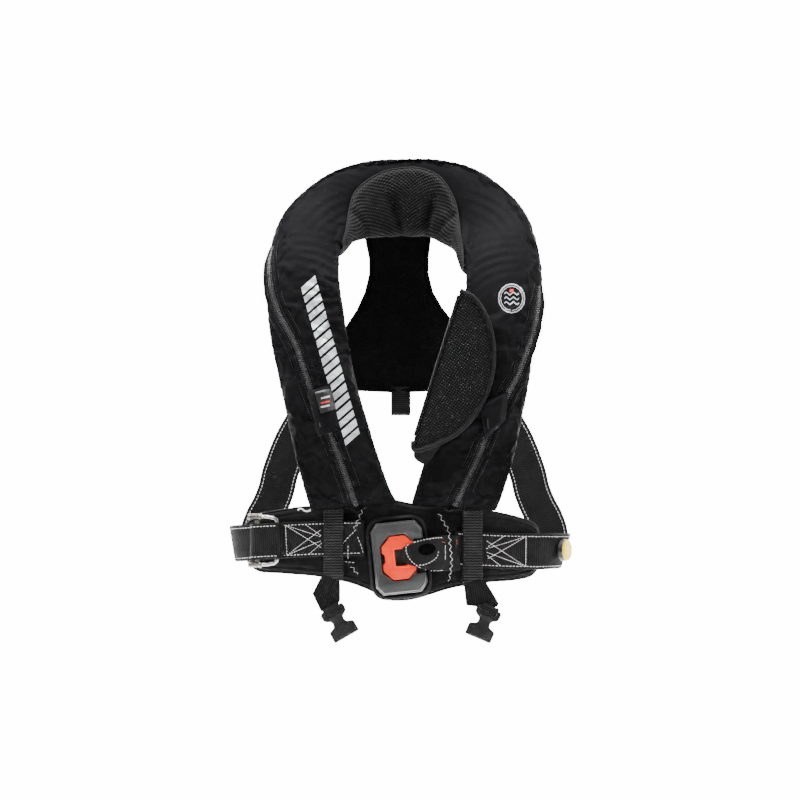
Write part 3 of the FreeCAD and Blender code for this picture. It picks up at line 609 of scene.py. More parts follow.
# Each station: outer edge (x, z), inner edge (x, z), depth of the middle, half thickness, in mm.
DEPTHS = (52, 47, 31, 3, -31, -62, -84, -96, -100, -101, -101, -102, -105, -108)
HALF_THICK = (17, 17, 17.5, 18, 19.5, 20.5, 22, 23, 24, 24.5, 24.5, 21.5, 15.5, 8)
EDGES = {
    -1: (
        ((0, 130), (-6, 35)), ((-44, 127), (-30, 35)), ((-86, 115), (-55, 32)), ((-122, 92), (-70, 25)),
        ((-149, 64), (-78, 12)), ((-166, 27), (-80, -4)), ((-173.5, -20), (-79, -28)),
        ((-172, -70), (-74, -63)),
        ((-166, -112), (-67.5, -107)), ((-157, -152), (-58, -154)), ((-147, -199), (-44, -203)),
        ((-136, -250), (-29, -250)), ((-125, -291), (-15, -288)), ((-118, -314), (-5, -304)),
    ),
    1: (
        ((0, 130), (-6, 35)), ((43, 129), (29, 35)), ((87, 118), (52, 26)), ((125, 93), (66, 17)),
        ((151, 64), (72, 7)), ((166.5, 26), (75, -8)), ((174.5, -20), (76, -31)), ((172.5, -68), (73, -64)),
        ((164, -110), (67, -108)), ((158, -152), (58, -155)), ((148.5, -199), (43, -204)),
        ((138, -250), (25, -250)), ((125, -292), (12, -290)), ((117, -313), (7, -306)),
    ),
}
ROUNDNESS = 2.5
AROUND = 72
ALONG = 230


def cover_stations():
    """Middle, width vector and thickness vector of each station, from the left end over the nape."""
    rows = []
    order = [(-1, i) for i in range(13, 0, -1)] + [(1, i) for i in range(14)]
    for side, i in order:
        (xo, zo), (xi, zi) = EDGES[side][i]
        middle = ((xo + xi) / 2, DEPTHS[i], (zo + zi) / 2)
        width = ((xo - xi) / 2, 0, (zo - zi) / 2)
        rows.append((middle, width, HALF_THICK[i]))
    return (
        np.array([r[0] for r in rows], float) * MM,
        np.array([r[1] for r in rows], float) * MM,
        np.array([[r[2]] for r in rows], float) * MM,
    )


def cover_frames(samples):
    middle, width, half = cover_stations()
    w = spline_weights(len(middle), samples)
    middle, width, half = w @ middle, w @ width, w @ half
    along = unit(np.gradient(middle, axis=0))
    front = unit(np.cross(along, width))
    front[front[:, 1] > 0] *= -1
    return middle, width, front * half


def cover_point(middle, width, front, angle, grow=0.0):
    """A point of the rounded section: angle 0 is the outer edge, 90 degrees the front, 180 the inner edge."""
    c, s = np.cos(angle), np.sin(angle)
    a = np.sign(c) * np.abs(c) ** (2 / ROUNDNESS)
    b = np.sign(s) * np.abs(s) ** (2 / ROUNDNESS)
    wide = np.linalg.norm(width, axis=-1, keepdims=True)
    thick = np.linalg.norm(front, axis=-1, keepdims=True)
    sideways = width / wide * (wide + grow) * a[..., None]
    return middle + sideways + front / thick * (thick + grow) * b[..., None]


def close_ends(grid):
    """Draws the tube's two ends together to a sewn edge."""
    rows = 7
    for start, step in ((0, 1), (len(grid) - 1, -1)):
        for k in range(rows):
            index = start + step * k
            keep = math.sin(math.radians(90 * (k + 0.35) / rows)) ** 0.6
            centre = grid[index].mean(axis=0)
            flat = grid[index] - centre
            flat[:, 1] *= keep
            grid[index] = centre + flat
    return grid


ZIP_PATHS = {
    -1: (
        (-160, 30), (-166.5, 4), (-167, -20), (-164, -43), (-156, -68), (-144, -90), (-134, -110),
        (-127, -131),
        (-119, -154), (-111, -176), (-102, -197), (-91, -221), (-80, -250), (-69, -281), (-58, -313),
    ),
    1: (
        (168.5, -18), (168.5, -40), (165, -69), (158.5, -97), (151, -119), (142, -144), (129, -168),
        (117, -192), (104, -217), (91, -250), (76, -281), (61, -312),
    ),
}


def zip_distance(points):
    """Distance of each point, seen from the front, to the nearest zip."""
    best = np.full(len(points), 1.0)
    flat = points[:, (0, 2)]
    for path in ZIP_PATHS.values():
        line = smooth_path(np.array(path, float) * MM, step=3 * MM)
        for p in line:
            best = np.minimum(best, np.linalg.norm(flat - p, axis=1))
    return best


def simulate(obj, pinned, pressure=4.0, frames=20, slack=0.03, cap=6.0, stiffness=18.0):
    """Swells the closed cloth of obj and caps how far each point may move."""
    before = np.array([v.co[:] for v in obj.data.vertices])
    group = obj.vertex_groups.new(name="pins")
    for index, weight in enumerate(pinned):
        if weight > 0.01:
            group.add([index], float(weight), "REPLACE")
    cloth = obj.modifiers.new("cloth", "CLOTH")
    settings = cloth.settings
    settings.quality = 5
    settings.mass = 0.15
    settings.tension_stiffness = settings.compression_stiffness = stiffness
    settings.shear_stiffness = stiffness / 2
    settings.bending_stiffness = 0.35
    settings.use_pressure, settings.uniform_pressure_force = True, pressure
    settings.shrink_min = settings.shrink_max = -slack
    settings.effector_weights.gravity = 0
    settings.vertex_group_mass = "pins"
    settings.pin_stiffness = 1.0
    cloth.point_cache.frame_start, cloth.point_cache.frame_end = 1, frames
    for index in range(1, frames + 1):
        scene.frame_set(index)
    evaluated = obj.evaluated_get(bpy.context.evaluated_depsgraph_get())
    after = np.array([v.co[:] for v in evaluated.data.vertices])
    obj.modifiers.remove(cloth)
    scene.frame_set(1)
    move = after - before
    far = np.linalg.norm(move, axis=1, keepdims=True)
    return before + move * np.minimum(1, cap * MM / np.maximum(far, 1e-9))


def build_cover():
    middle, width, front = cover_frames(ALONG)
    angle = np.linspace(0, 2 * math.pi, AROUND, endpoint=False)
    around = np.broadcast_to(angle, (ALONG, AROUND))
    grid = close_ends(cover_point(middle[:, None], width[:, None], front[:, None], around, -2 * MM))
    base = grid_piece("cover_base", grid, wrap_v=True, caps=True)
    flat = grid.reshape(-1, 3)
    near = zip_distance(flat)
    facing = np.sin(around).ravel() > -0.2
    edge = np.abs(np.sin(around)).ravel()
    pins = np.where(facing, np.clip(1.25 - near / (9 * MM), 0, 1), 0)
    pins = np.maximum(pins, np.clip(1.0 - edge / 0.35, 0, 0.8))
    rows = np.repeat(np.arange(ALONG), AROUND)
    pins[(rows < 3) | (rows > ALONG - 4)] = 1
    swollen = simulate(base, pins, pressure=4.2, slack=0.04, cap=5.0, stiffness=14)
    bpy.data.objects.remove(base)
    out = unit(flat.reshape(grid.shape) - grid.mean(axis=1, keepdims=True)).reshape(-1, 3)
    move = swollen[: ALONG * AROUND] - flat
    rear = np.clip((0.2 - np.sin(np.tile(angle, ALONG))) / 0.2, 0, 1)
    sunk = np.minimum(np.sum(move * out, axis=1), 0) * rear
    swollen = flat + move - out * sunk[:, None]
    grid = swollen.reshape(ALONG, AROUND, 3)
    wrapped = np.concatenate([grid, grid[:, :1]], axis=1)
    fine = upsample(wrapped, 2 * ALONG, 2 * AROUND + 1)
    fine[:, 0] = fine[:, -1] = (fine[:, 0] + fine[:, -1]) / 2
    normal = grid_normals(fine)
    centre = fine[:, :-1].mean(axis=1, keepdims=True)
    flip = np.sign(np.sum((fine - centre) * normal, axis=2).mean())
    normal *= flip
    run = run_along(middle)
    at = np.interp(np.linspace(0, ALONG - 1, 2 * ALONG), np.arange(ALONG), run)
    u = at[:, None] + np.zeros((1, fine.shape[1]))
    a = np.linspace(0, 2 * math.pi, fine.shape[1])[None] + np.zeros((fine.shape[0], 1))
    loop = np.stack([u, np.cos(a) * 0.05, np.sin(a) * 0.05], -1)
    proud = cover_relief(fine, loop)
    fine = fine + normal * proud[..., None]
    fine[:, -1] = fine[:, 0]
    return grid_piece("cover_skin", fine[:, :-1], wrap_v=True, caps=True)


def cover_relief(points, loop):
    """Folds of the cover cloth; loop is a coordinate that closes round the section."""
    x, z = points[..., 0] / MM, points[..., 2] / MM
    broad = noise_at(loop, 17.0, 1.3)
    slanted = loop.copy()
    slanted[..., 0] = loop[..., 0] + 0.9 * loop[..., 1]
    folds = noise_at(slanted * np.array([1.6, 0.45, 0.45]), 30.0, 4.1)
    fine = noise_at(slanted * np.array([1.3, 0.8, 0.8]), 75.0, 2.2)
    ridged = np.clip(1 - np.abs(folds) * 4.0, -0.4, 1)
    near = zip_distance(points.reshape(-1, 3)).reshape(points.shape[:2])
    front = points[..., 1] < -0.02
    pucker = np.exp(-(((near - 0.014) / 0.008) ** 2)) * front
    crimp = np.sin(loop[..., 0] * 2 * math.pi / 0.019 + 4 * broad) * pucker
    calm = np.where(front, np.clip((near - 0.007) / 0.014, 0, 1), 1)
    rise = (broad * 1.7 + ridged * 0.6 * (0.5 + broad) + fine * 0.28) * calm + crimp * 0.4
    for x0, z0, angle, spread, pitch, deep in RIPPLES:
        u = (x - x0) * math.cos(math.radians(angle)) + (z - z0) * math.sin(math.radians(angle))
        v = -(x - x0) * math.sin(math.radians(angle)) + (z - z0) * math.cos(math.radians(angle))
        bend = v + 0.006 * u * u + 2.0 * broad
        fade = np.exp(-((u / spread) ** 2) - ((v / (spread * 0.8)) ** 2))
        rise = rise + deep * np.sin(bend * 2 * math.pi / pitch) * fade * (points[..., 1] < 0.05)
    flank = np.clip(np.abs(loop[..., 2]) / 0.03, 0.15, 1)
    groove = -1.6 * np.exp(-((near / 0.008) ** 2)) * front
    return (rise + groove) * flank * MM


# Groups of small folds where the cloth is gathered: x, z, direction in degrees, spread, pitch, height, in mm.
RIPPLES = (
    (-100, 5, -24, 36, 10.5, 1.0), (-112, -38, -18, 30, 11.5, 0.8), (-96, 62, 35, 24, 12.0, 0.9),
    (-120, 96, 40, 26, 14.0, 0.7), (104, 2, 22, 34, 11.0, 0.9), (112, 60, -38, 28, 12.5, 0.9),
    (-60, -262, -66, 30, 9.0, 0.7), (84, -270, 66, 28, 9.0, 0.7), (-128, -120, 70, 26, 10.0, 0.7),
    (136, -110, -70, 26, 10.0, 0.8), (30, 124, 80, 30, 13.0, 0.6), (-88, -100, -30, 34, 12.0, 0.6),
    (-118, -238, 30, 26, 10.5, 0.7), (122, -238, -30, 26, 10.5, 0.7),
)


# ---------------------------------------------------------------- pieces sewn on the cover

def surface_run(tree, path, step=1.0):
    """Points on the surface along a path seen from the front, with normals and directions across."""
    line = smooth_path(np.array(path, float) * MM, step=step * MM)
    hits = [drop(tree, x, z) for x, z in line]
    points = np.array([h[0] for h in hits])
    for _ in range(3):
        points[1:-1, 1] = (points[:-2, 1] + points[1:-1, 1] + points[2:, 1]) / 3
    normals = unit(np.array([h[1] for h in hits]))
    kernel = np.ones(9) / 9
    for k in range(3):
        padded = np.pad(normals[:, k], 4, mode="edge")
        normals[:, k] = np.convolve(padded, kernel, mode="valid")
    normals = unit(normals)
    along = unit(np.gradient(points, axis=0))
    across = unit(np.cross(along, normals))
    return points, normals, along, across


def strip(name, points, normals, across, width, thick, lift, rows, profile):
    """A flat strip of cloth along a surface run."""
    t = np.linspace(-1, 1, rows)
    crown = profile(t) * MM
    top = points[:, None] + across[:, None] * (t * width / 2 * MM)[None, :, None]
    top = top + normals[:, None] * (lift * MM + thick * MM + crown)[None, :, None]
    low = points[:, None] + across[:, None] * (t[::-1] * width / 2 * MM)[None, :, None]
    low = low + normals[:, None] * (lift * MM * np.ones(rows))[None, :, None]
    ring = np.concatenate([top, low], axis=1)
    return grid_piece(name, ring, wrap_v=True, caps=True)


TAPE_WIDTH, TAPE_SEAMS, PIPING = 17.5, (-5.9, 5.9, -12.6, 12.6), (-9.6, 9.6)
TOOTH_SIZE, TOOTH_PITCH, FIRST_TOOTH = (4.6 * MM, 1.5 * MM, 1.6 * MM), 2.8 * MM, 16 * MM


def build_zip(tree, name, side):
    points, normals, along, across = surface_run(tree, ZIP_PATHS[side], step=1.0)
    narrow = np.clip(np.arange(len(points)) / 34, 0.02, 1)[:, None] ** 0.7
    points = points - normals * (1 - narrow) * 3.0 * MM
    across = across * narrow
    groove = lambda t: -0.9 * np.exp(-((t / 0.32) ** 2))
    tape = strip(f"zip_{name}_tape", points, normals, across, TAPE_WIDTH, 1.0, -0.4, rows=15,
                 profile=groove)
    finish_piece(tape, "tape", "root", (f"zip_tape_{name}",))
    parts = []
    for offset in PIPING:
        edge = points + across * offset * MM + normals * 0.5 * MM
        parts.append(tube_part(edge[::2], 1.25 * MM * narrow[::2, 0], 8))
    piping = join_parts(f"zip_{name}_piping", parts)
    finish_piece(piping, "nylon", "root")
    seams = []
    for offset in TAPE_SEAMS:
        edge = points + across * offset * MM + normals * 0.75 * MM
        seams += stitch_parts(edge, normals, 2.2, 1.1, 0.28, 0.1)
    finish_parts(f"zip_{name}_seams", seams, "dark_thread", "root")
    teeth, count, at = [], 0, FIRST_TOOTH
    run_length = run_along(points)
    while at < run_length[-1] - 1 * MM:
        p, n, d, c = (unit_at(run_length, a, at) for a in (points, normals, along, across))
        sign = 1 if count % 2 else -1
        middle = p + c * sign * 1.3 * MM + n * 1.1 * MM
        teeth.append(block_part(middle, c, d, n, TOOTH_SIZE))
        at += TOOTH_PITCH / 2
        count += 1
    finish_parts(f"zip_{name}_teeth", teeth, "teeth", "root", (f"zip_teeth_{name}",))


def unit_at(run, values, at):
    return np.array([np.interp(at, run, values[:, k]) for k in range(3)])


def block_part(middle, a, b, c, size):
    """A small block with its top narrowed, as moulded teeth have."""
    vertices = []
    for level, share in ((-0.5, 1.0), (0.25, 1.0), (0.5, 0.72)):
        for i, j in ((-0.5, -0.5), (0.5, -0.5), (0.5, 0.5), (-0.5, 0.5)):
            corner = middle + a * i * size[0] * share + b * j * size[1] * share + c * level * size[2]
            vertices.append(tuple(corner))
    faces = [(3, 2, 1, 0), (8, 9, 10, 11)]
    for level in (0, 4):
        for k in range(4):
            n = (k + 1) % 4
            faces.append((level + k, level + n, level + 4 + n, level + 4 + k))
    return vertices, faces


# ---------------------------------------------------------------- honeycomb mesh pads

def honeycomb(u, v, pitch=(4.2, 2.9), hole=0.62):
    """Depth share of a knitted spacer mesh: 1 in the middle of a hole, 0 on the ridges. u and v in mm."""
    row = np.floor(v / (pitch[1] / 2) + 0.5)
    best = np.full(u.shape, 9.0)
    for step in (-1, 0, 1):
        r = row + step
        cu = (u / pitch[0] - 0.5 * np.mod(r, 2))
        du = (cu - np.round(cu)) * pitch[0]
        dv = v - r * pitch[1] / 2
        best = np.minimum(best, np.hypot(du / pitch[0] * 2.0, dv / pitch[1] * 2.0))
    return np.clip((hole - best) / 0.28 + 0.5, 0, 1)


NECK_SEAM = (
    (-84, 14), (-83, 26), (-81, 55), (-76, 74), (-67, 87), (-49, 101), (-26, 112), (0, 116), (19, 116),
    (40, 110), (54, 101), (66, 86), (76, 67), (80, 46), (81, 26), (80, 7), (77, -12),
)


def seam_angles(middle, width):
    """The section angle at which the neck pad's seam crosses each row; 180 degrees where there is none."""
    line = smooth_path(np.array(NECK_SEAM, float) * MM, step=0.5 * MM)
    angles = np.full(len(middle), math.pi)
    for i, (m, w) in enumerate(zip(middle, width)):
        wide = np.hypot(w[0], w[2])
        offset = line - m[[0, 2]]
        beside = np.abs(offset[:, 0] * w[2] - offset[:, 1] * w[0]) / wide
        share = (offset @ w[[0, 2]]) / wide**2
        beside = beside + np.where(np.abs(share) > 1.15, 1.0, 0.0)
        best = beside.argmin()
        if beside[best] < 1.5 * MM:
            f = float(np.clip(share[best], -1, 1))
            angles[i] = math.acos(math.copysign(abs(f) ** (ROUNDNESS / 2), f))
    return angles


def build_neck_pad():
    samples = 2 * ALONG
    middle, width, front = cover_frames(samples)
    seam = seam_angles(middle, width)
    rows = np.where(seam < math.radians(170))[0]
    pick = np.linspace(rows[0], rows[-1], 470)
    blend_rows = lambda values: np.stack(
        [np.interp(pick, np.arange(samples), values[:, k]) for k in range(values.shape[1])], axis=1
    )
    middle, width, front = blend_rows(middle), blend_rows(width), blend_rows(front)
    seam = np.interp(pick, np.arange(samples), seam)
    seam = np.convolve(np.pad(seam, 6, mode="edge"), np.ones(13) / 13, mode="valid")
    across = np.linspace(0, 1, 210)
    angle = seam[:, None] * (1 - across) + math.radians(208) * across
    grid = cover_point(middle[:, None], width[:, None], front[:, None], angle, 0.6 * MM)
    normal = grid_normals(grid)
    centre = middle[:, None]
    normal *= np.sign(np.sum((grid - centre) * normal, axis=2).mean())
    x, z = grid[..., 0] / MM, grid[..., 2] / MM
    steps = np.linalg.norm(np.diff(grid, axis=1), axis=2)
    run = np.concatenate([np.zeros((len(pick), 1)), np.cumsum(steps, axis=1)], axis=1) / MM
    under = np.clip((run[:, -1:] - run - 4) / 26, 0, 1)
    side_run = np.linalg.norm(np.diff(grid[:, 100], axis=0), axis=1).cumsum() / MM
    side_run = np.concatenate([[0], side_run])[:, None] + 0 * run
    edge = np.minimum(run, 9) / 9
    ends = np.minimum(np.arange(len(pick)), np.arange(len(pick))[::-1])[:, None] / 26
    edge = np.minimum(edge, np.clip(ends, 0, 1))
    puff = 5.0 * (1 - (1 - edge) ** 2.5)
    lean = x + 0.35 * (z - 75)
    folds = -7.5 * np.exp(-(((lean + 16) / 6.5) ** 2)) * np.clip((run - 26) / 20, 0, 1)
    folds += -7.5 * np.exp(-(((x - 0.25 * (z - 75) - 37) / 6.5) ** 2)) * np.clip((run - 22) / 20, 0, 1)
    folds += -2.6 * np.exp(-(((x + 0.9 * (z - 60) + 66) / 5.0) ** 2))
    folds += -2.4 * np.exp(-(((x - 1.0 * (z - 62) - 70) / 5.5) ** 2))
    fan = np.sin((x * 0.9 - z * 0.5) / 3.4) * np.exp(-(((x + 46) / 17) ** 2 + ((z - 62) / 17) ** 2))
    fan += np.sin((x * 0.8 + z * 0.7) / 3.8) * np.exp(-(((x - 58) / 12) ** 2 + ((z - 58) / 20) ** 2))
    soft = noise_at(grid, 34.0, 5.0) * 1.6 + noise_at(grid, 75.0, 2.0) * 0.6
    holes = honeycomb(side_run + 0.8 * noise_at(grid, 40.0), run, (4.6, 4.2), 0.60)
    lift = puff + (folds * under + soft * (0.3 + 0.7 * under)) * edge + fan * 0.9 * edge * under
    lift = lift - 1.25 * holes * np.clip(edge * 3 - 0.4, 0, 1)
    grid = grid + normal * (lift * MM)[..., None]
    # The holes also go to the cloth attribute, where the mesh material darkens them as painted shade.
    pad = grid_piece("neck_mesh", grid, cloth=np.stack([side_run, run, holes], -1))
    finish_piece(pad, "mesh", "root", ("neck_mesh_pad",))
    edge_line = grid[:, 0] + normal[:, 0] * 1.0 * MM
    finish_parts("neck_seam", [tube_part(edge_line[::3], 1.1 * MM, 8)], "binding", "root")


def inside_outline(ring, x, z):
    """Which points lie inside a closed outline, and how far each is from it."""
    inside = np.zeros(x.shape, bool)
    far = np.full(x.shape, 1e9)
    for (x1, z1), (x2, z2) in zip(ring, np.roll(ring, -1, axis=0)):
        crosses = (z1 > z) != (z2 > z)
        at = (x2 - x1) * (z - z1) / ((z2 - z1) if z2 != z1 else 1e-9) + x1
        inside ^= crosses & (x < at)
        dx, dz = x2 - x1, z2 - z1
        t = np.clip(((x - x1) * dx + (z - z1) * dz) / max(dx * dx + dz * dz, 1e-9), 0, 1)
        far = np.minimum(far, np.hypot(x - x1 - t * dx, z - z1 - t * dz))
    return inside, far


def clipped_sheet(name, ring, cell, fronts, holes=None):
    """Grids cut to an outline, one for each function in fronts, which gives the depth in mm."""
    ring = np.asarray(ring, float)
    low, high = ring.min(axis=0), ring.max(axis=0)
    xs, zs = np.arange(low[0], high[0], cell), np.arange(low[1], high[1], cell)
    x, z = np.meshgrid(xs, zs, indexing="ij")
    inside, far = inside_outline(ring, x, z)
    number = np.cumsum(inside.ravel()).reshape(x.shape) - 1
    full = inside[:-1, :-1] & inside[1:, :-1] & inside[1:, 1:] & inside[:-1, 1:]
    quads = np.stack([number[:-1, :-1], number[1:, :-1], number[1:, 1:], number[:-1, 1:]], -1)[full]
    x, z, far = x[inside], z[inside], far[inside]
    vertices, faces = [], []
    for index, depth in enumerate(fronts):
        y = depth(x, z, far)
        vertices.append(np.stack([x, y, z], -1) * MM)
        turned = quads if index == 0 else quads[:, ::-1]
        faces.append(turned + index * len(x))
    obj = mesh_piece(name, np.concatenate(vertices), np.concatenate(faces))
    # The holes function gives each point's hollow share, which the cloth materials darken as painted shade.
    if holes:
        depth = holes(x, z)
        cloth = np.stack([x, z, depth], -1)
        layer = obj.data.attributes.new("cloth", "FLOAT_VECTOR", "POINT")
        layer.data.foreach_set("vector", np.tile(cloth, (len(fronts), 1)).astype(np.float32).ravel())
    return obj


FLAP_CURVE = (
    (70, -38), (88, -48), (101, -67), (109, -90), (112, -115), (110, -143), (101, -173), (86, -197),
    (66, -217), (42, -230), (26, -236), (16, -238), (11.5, -235), (11.5, -226),
)


def build_flap():
    curve = smooth_path(np.array(FLAP_CURVE, float), step=3.0)
    fold = np.linspace(curve[-1], curve[0], 30)[1:-1]
    ring = np.concatenate([curve, fold])
    seed = lambda x, z: np.stack([x, z * 0, z], -1) * MM
    weave_at = lambda x, z: honeycomb(x + z * 0.2, z - x * 0.2, (4.7, 4.5), 0.56)

    def front(x, z, far):
        puff = 3.6 * (1 - np.exp(-np.maximum(far - 2, 0) / 7))
        soft = noise_at(seed(x, z), 30.0, 4.0) * 1.0 + noise_at(seed(x, z), 70.0, 7.0) * 0.35
        return -130.9 - puff - soft * np.clip(far / 12, 0, 1) + 1.25 * weave_at(x, z)

    def rear(x, z, far):
        return -128.4 + 0.6 * (1 - np.exp(-far / 6)) - 0.7 * weave_at(x, z)

    # weave_at also gives the holes that the mesh material darkens as painted shade.
    pad = clipped_sheet("flap_mesh", ring, 0.62, (front, rear), weave_at)
    finish_piece(pad, "mesh", "flap", ("comfort_flap",))
    line = np.stack([curve[:, 0], np.full(len(curve), -130.7), curve[:, 1]], -1) * MM
    binding = join_parts("flap_binding", [ribbed_tube(line, (3.0, 3.9), 0.12, 1.4)])
    finish_piece(binding, "binding", "flap", ("comfort_flap_binding",))
    middle = np.array([65, -130.7, -130]) * MM
    inward = unit(middle - line) * np.array([1, 0, 1])
    inner = line + inward * 4.6 * MM
    inner[:, 1] = -133.4 * MM
    face = np.tile(FRONT, (len(inner), 1))
    finish_parts("flap_stitches", stitch_parts(inner, face, 2.2, 1.2, 0.28), "dark_thread", "flap")
    fold_line = np.stack([fold[:, 0], np.full(len(fold), -130.4), fold[:, 1]], -1) * MM
    hem = join_parts("flap_hem", [ribbed_tube(fold_line, (1.8, 3.0), 0.1, 1.4)])
    finish_piece(hem, "binding", "flap")


def ribbed_tube(path, half, depth, pitch, sides=14):
    """A flat bound edge round a path, with fine cross ribs; half is its size (in plane, in depth) in mm."""
    path = smooth_path(path, step=0.7 * MM)
    along = unit(np.gradient(path, axis=0))
    out = unit(np.cross(along, np.array([0, 1.0, 0])))
    run = run_along(path) / MM
    rib = 1 + depth * np.sin(run * 2 * math.pi / pitch) / min(half)
    angles = np.linspace(0, 2 * math.pi, sides, endpoint=False)
    ring = np.cos(angles)[None, :, None] * out[:, None] * half[0] * MM
    ring = ring + np.sin(angles)[None, :, None] * np.array([0, -1.0, 0]) * half[1] * MM
    points = path[:, None] + ring * rib[:, None, None]
    faces = [tuple(f) for f in grid_faces(len(path), sides, True)]
    faces += [tuple(range(sides))[::-1], tuple(range((len(path) - 1) * sides, len(path) * sides))]
    return list(map(tuple, points.reshape(-1, 3))), faces


BACK_OUTLINE = (
    (-48, 58), (34, 58), (31, 28), (28.3, 5), (28, -16), (34, -40), (45.5, -60), (61, -80), (92, -110),
    (118, -132), (112, -152), (60, -160), (-7, -163), (-74, -160), (-126, -152), (-132, -132), (-104, -112),
    (-72, -86), (-57, -63), (-46.5, -40), (-41, -17), (-41, 3), (-46, 28),
)
BACK_CENTRE, BACK_RADIUS = (-7, -125), 205


def back_wall(x, radius):
    return BACK_CENTRE[1] + np.sqrt(np.maximum(radius**2 - (x - BACK_CENTRE[0]) ** 2, 1))


def build_back_panel():
    ring = np.array(round_corners(BACK_OUTLINE, 14), float)
    seed = lambda x, z: np.stack([x, z * 0, z], -1) * MM
    ripple = lambda x, z: noise_at(seed(x, z), 26.0, 3.0) * 1.1

    def front(x, z, far):
        holes = honeycomb(x, z, (2.4, 2.4), 0.55)
        return back_wall(x, BACK_RADIUS + 1.0) - 0.6 + ripple(x, z) * np.clip(far / 15, 0, 1) + 0.35 * holes

    def rear(x, z, far):
        holes = honeycomb(x, z, (2.4, 2.4), 0.55)
        return back_wall(x, BACK_RADIUS + 5.2) + ripple(x, z) * np.clip(far / 15, 0, 1) - 0.35 * holes

    panel = clipped_sheet("back_mesh", ring, 0.8, (front, rear))
    finish_piece(panel, "fine_mesh", "root", ("back_panel",))
    closed = np.concatenate([ring, ring[:1]])
    edge = np.stack([closed[:, 0], back_wall(closed[:, 0], BACK_RADIUS + 3), closed[:, 1]], -1) * MM
    binding = join_parts("back_binding", [ribbed_tube(edge, (3.0, 4.0), 0.12, 1.4)])
    finish_piece(binding, "edge", "root", ("back_panel_binding",))


# ---------------------------------------------------------------- webbing

class Webbing:
    """A woven strap along a path: its middle line, the direction across it, and the mesh."""

    def __init__(self, name, path, across, width, thick, pitch=2.7, relief=0.32, step=0.5, columns=27,
                 taper=None):
        control = np.concatenate([np.asarray(path, float), np.asarray(across, float)], axis=1)
        dense = spline_weights(len(control), 60 * len(control)) @ control
        run = run_along(dense[:, :3])
        self.length = run[-1]
        count = max(8, int(self.length / (step * MM)))
        at = np.linspace(0, run[-1], count)
        both = np.stack([np.interp(at, run, dense[:, k]) for k in range(6)], axis=1)
        self.points, self.across = both[:, :3], unit(both[:, 3:])
        self.along = unit(np.gradient(self.points, axis=0))
        self.across = unit(self.across - self.along * np.sum(self.across * self.along, axis=1,
                                                             keepdims=True))
        self.normals = np.cross(self.along, self.across)
        self.at, self.half_thick = at, thick / 2 * MM
        half = np.full(count, width / 2.0) if taper is None else np.interp(at / run[-1], *zip(*taper)) / 2
        self.half = half * MM
        t = np.linspace(-1, 1, columns)
        rounding = np.clip(1 - np.abs(t) ** 14, 0, 1) ** 0.5
        selvedge = 0.25 * np.exp(-(((np.abs(t) - 0.9) / 0.05) ** 2))
        twill = 0.30 * (1 - np.abs(((t * columns / 4) % 2) - 1)) * pitch
        phase = (at[:, None] / MM + twill[None]) * 2 * math.pi / pitch
        rib = np.sqrt(0.5 + 0.5 * np.cos(phase)) + 0 * t[None]
        height = (thick / 2 * rounding[None] + relief * rib * rounding[None] + selvedge[None] * rounding) * MM
        side = self.across[:, None] * (t[None, :, None] * self.half[:, None, None])
        top = self.points[:, None] + side + self.normals[:, None] * height[..., None]
        low = self.points[:, None] + side - self.normals[:, None] * height[..., None]
        ring = np.concatenate([top, low[:, -2:0:-1]], axis=1)
        # Each rib's hollow share goes to the cloth attribute, where the webbing material darkens it as
        # painted shade.
        hollow = np.concatenate([1 - rib, (1 - rib)[:, -2:0:-1]], axis=1)
        cloth = np.stack([hollow * 0, hollow * 0, hollow], -1)
        self.obj = grid_piece(name, ring, wrap_v=True, caps=True, cloth=cloth)

    def at_point(self, s, o, side=1):
        """The point at s mm along and o mm across on one face, and its normal."""
        s = s * MM if s >= 0 else self.length + s * MM
        pick = lambda a: np.array([np.interp(s, self.at, a[:, k]) for k in range(3)])
        n = pick(self.normals) * side
        return pick(self.points) + pick(self.across) * o * MM + n * (self.half_thick + 0.3 * MM), n

    def stitch(self, marks, side=1, closed=False, **kind):
        """Stitches along straight lines between (along, across) marks."""
        marks = list(marks) + ([marks[0]] if closed else [])
        parts = []
        for (s1, o1), (s2, o2) in zip(marks, marks[1:]):
            count = max(3, int(math.hypot(s2 - s1, o2 - o1) / 1.5))
            t = np.linspace(0, 1, count)
            pairs = [self.at_point(s1 + (s2 - s1) * k, o1 + (o2 - o1) * k, side) for k in t]
            parts += stitch_parts([p for p, _ in pairs], [n for _, n in pairs], **kind)
        return parts


BELT_WIDTH, BELT_SEAM, BELT_OUT = 45.6, 18.8, 12.0
DASH = dict(length=3.0, gap=1.5, radius=0.42)
DOT = dict(length=2.2, gap=1.8, radius=0.45)

# The belt's plan: a shallow front arc that turns back round both sides of the body.
BELT_X, ARC_Y, ARC_R, CORNER_R = -5, 416, 500, 46
TURN = math.asin(0.34)
CORNER = ((ARC_R - CORNER_R) * math.sin(TURN), ARC_Y - (ARC_R - CORNER_R) * math.cos(TURN))


def belt_point(angle, offset):
    """A point of the belt's plan at an angle from straight ahead, in mm."""
    if abs(angle) <= TURN:
        centre, radius = (BELT_X, ARC_Y), ARC_R
    else:
        centre, radius = (BELT_X + math.copysign(CORNER[0], angle), CORNER[1]), CORNER_R
    reach = radius + offset
    return centre[0] + reach * math.sin(angle), centre[1] - reach * math.cos(angle)


BELT_DEGREES = np.concatenate([np.arange(-152, -20, 4), np.arange(-20, 20.1, 1), np.arange(24, 153, 4)])
BELT_ANGLES = np.radians(BELT_DEGREES)
BELT_FRONT = np.array([belt_point(a, 8) for a in BELT_ANGLES])


def belt_angle(x):
    """The belt angle whose point lies at x, for points in front."""
    seen = np.abs(BELT_ANGLES) < math.radians(90)
    return np.interp(x, BELT_FRONT[seen, 0], BELT_ANGLES[seen])


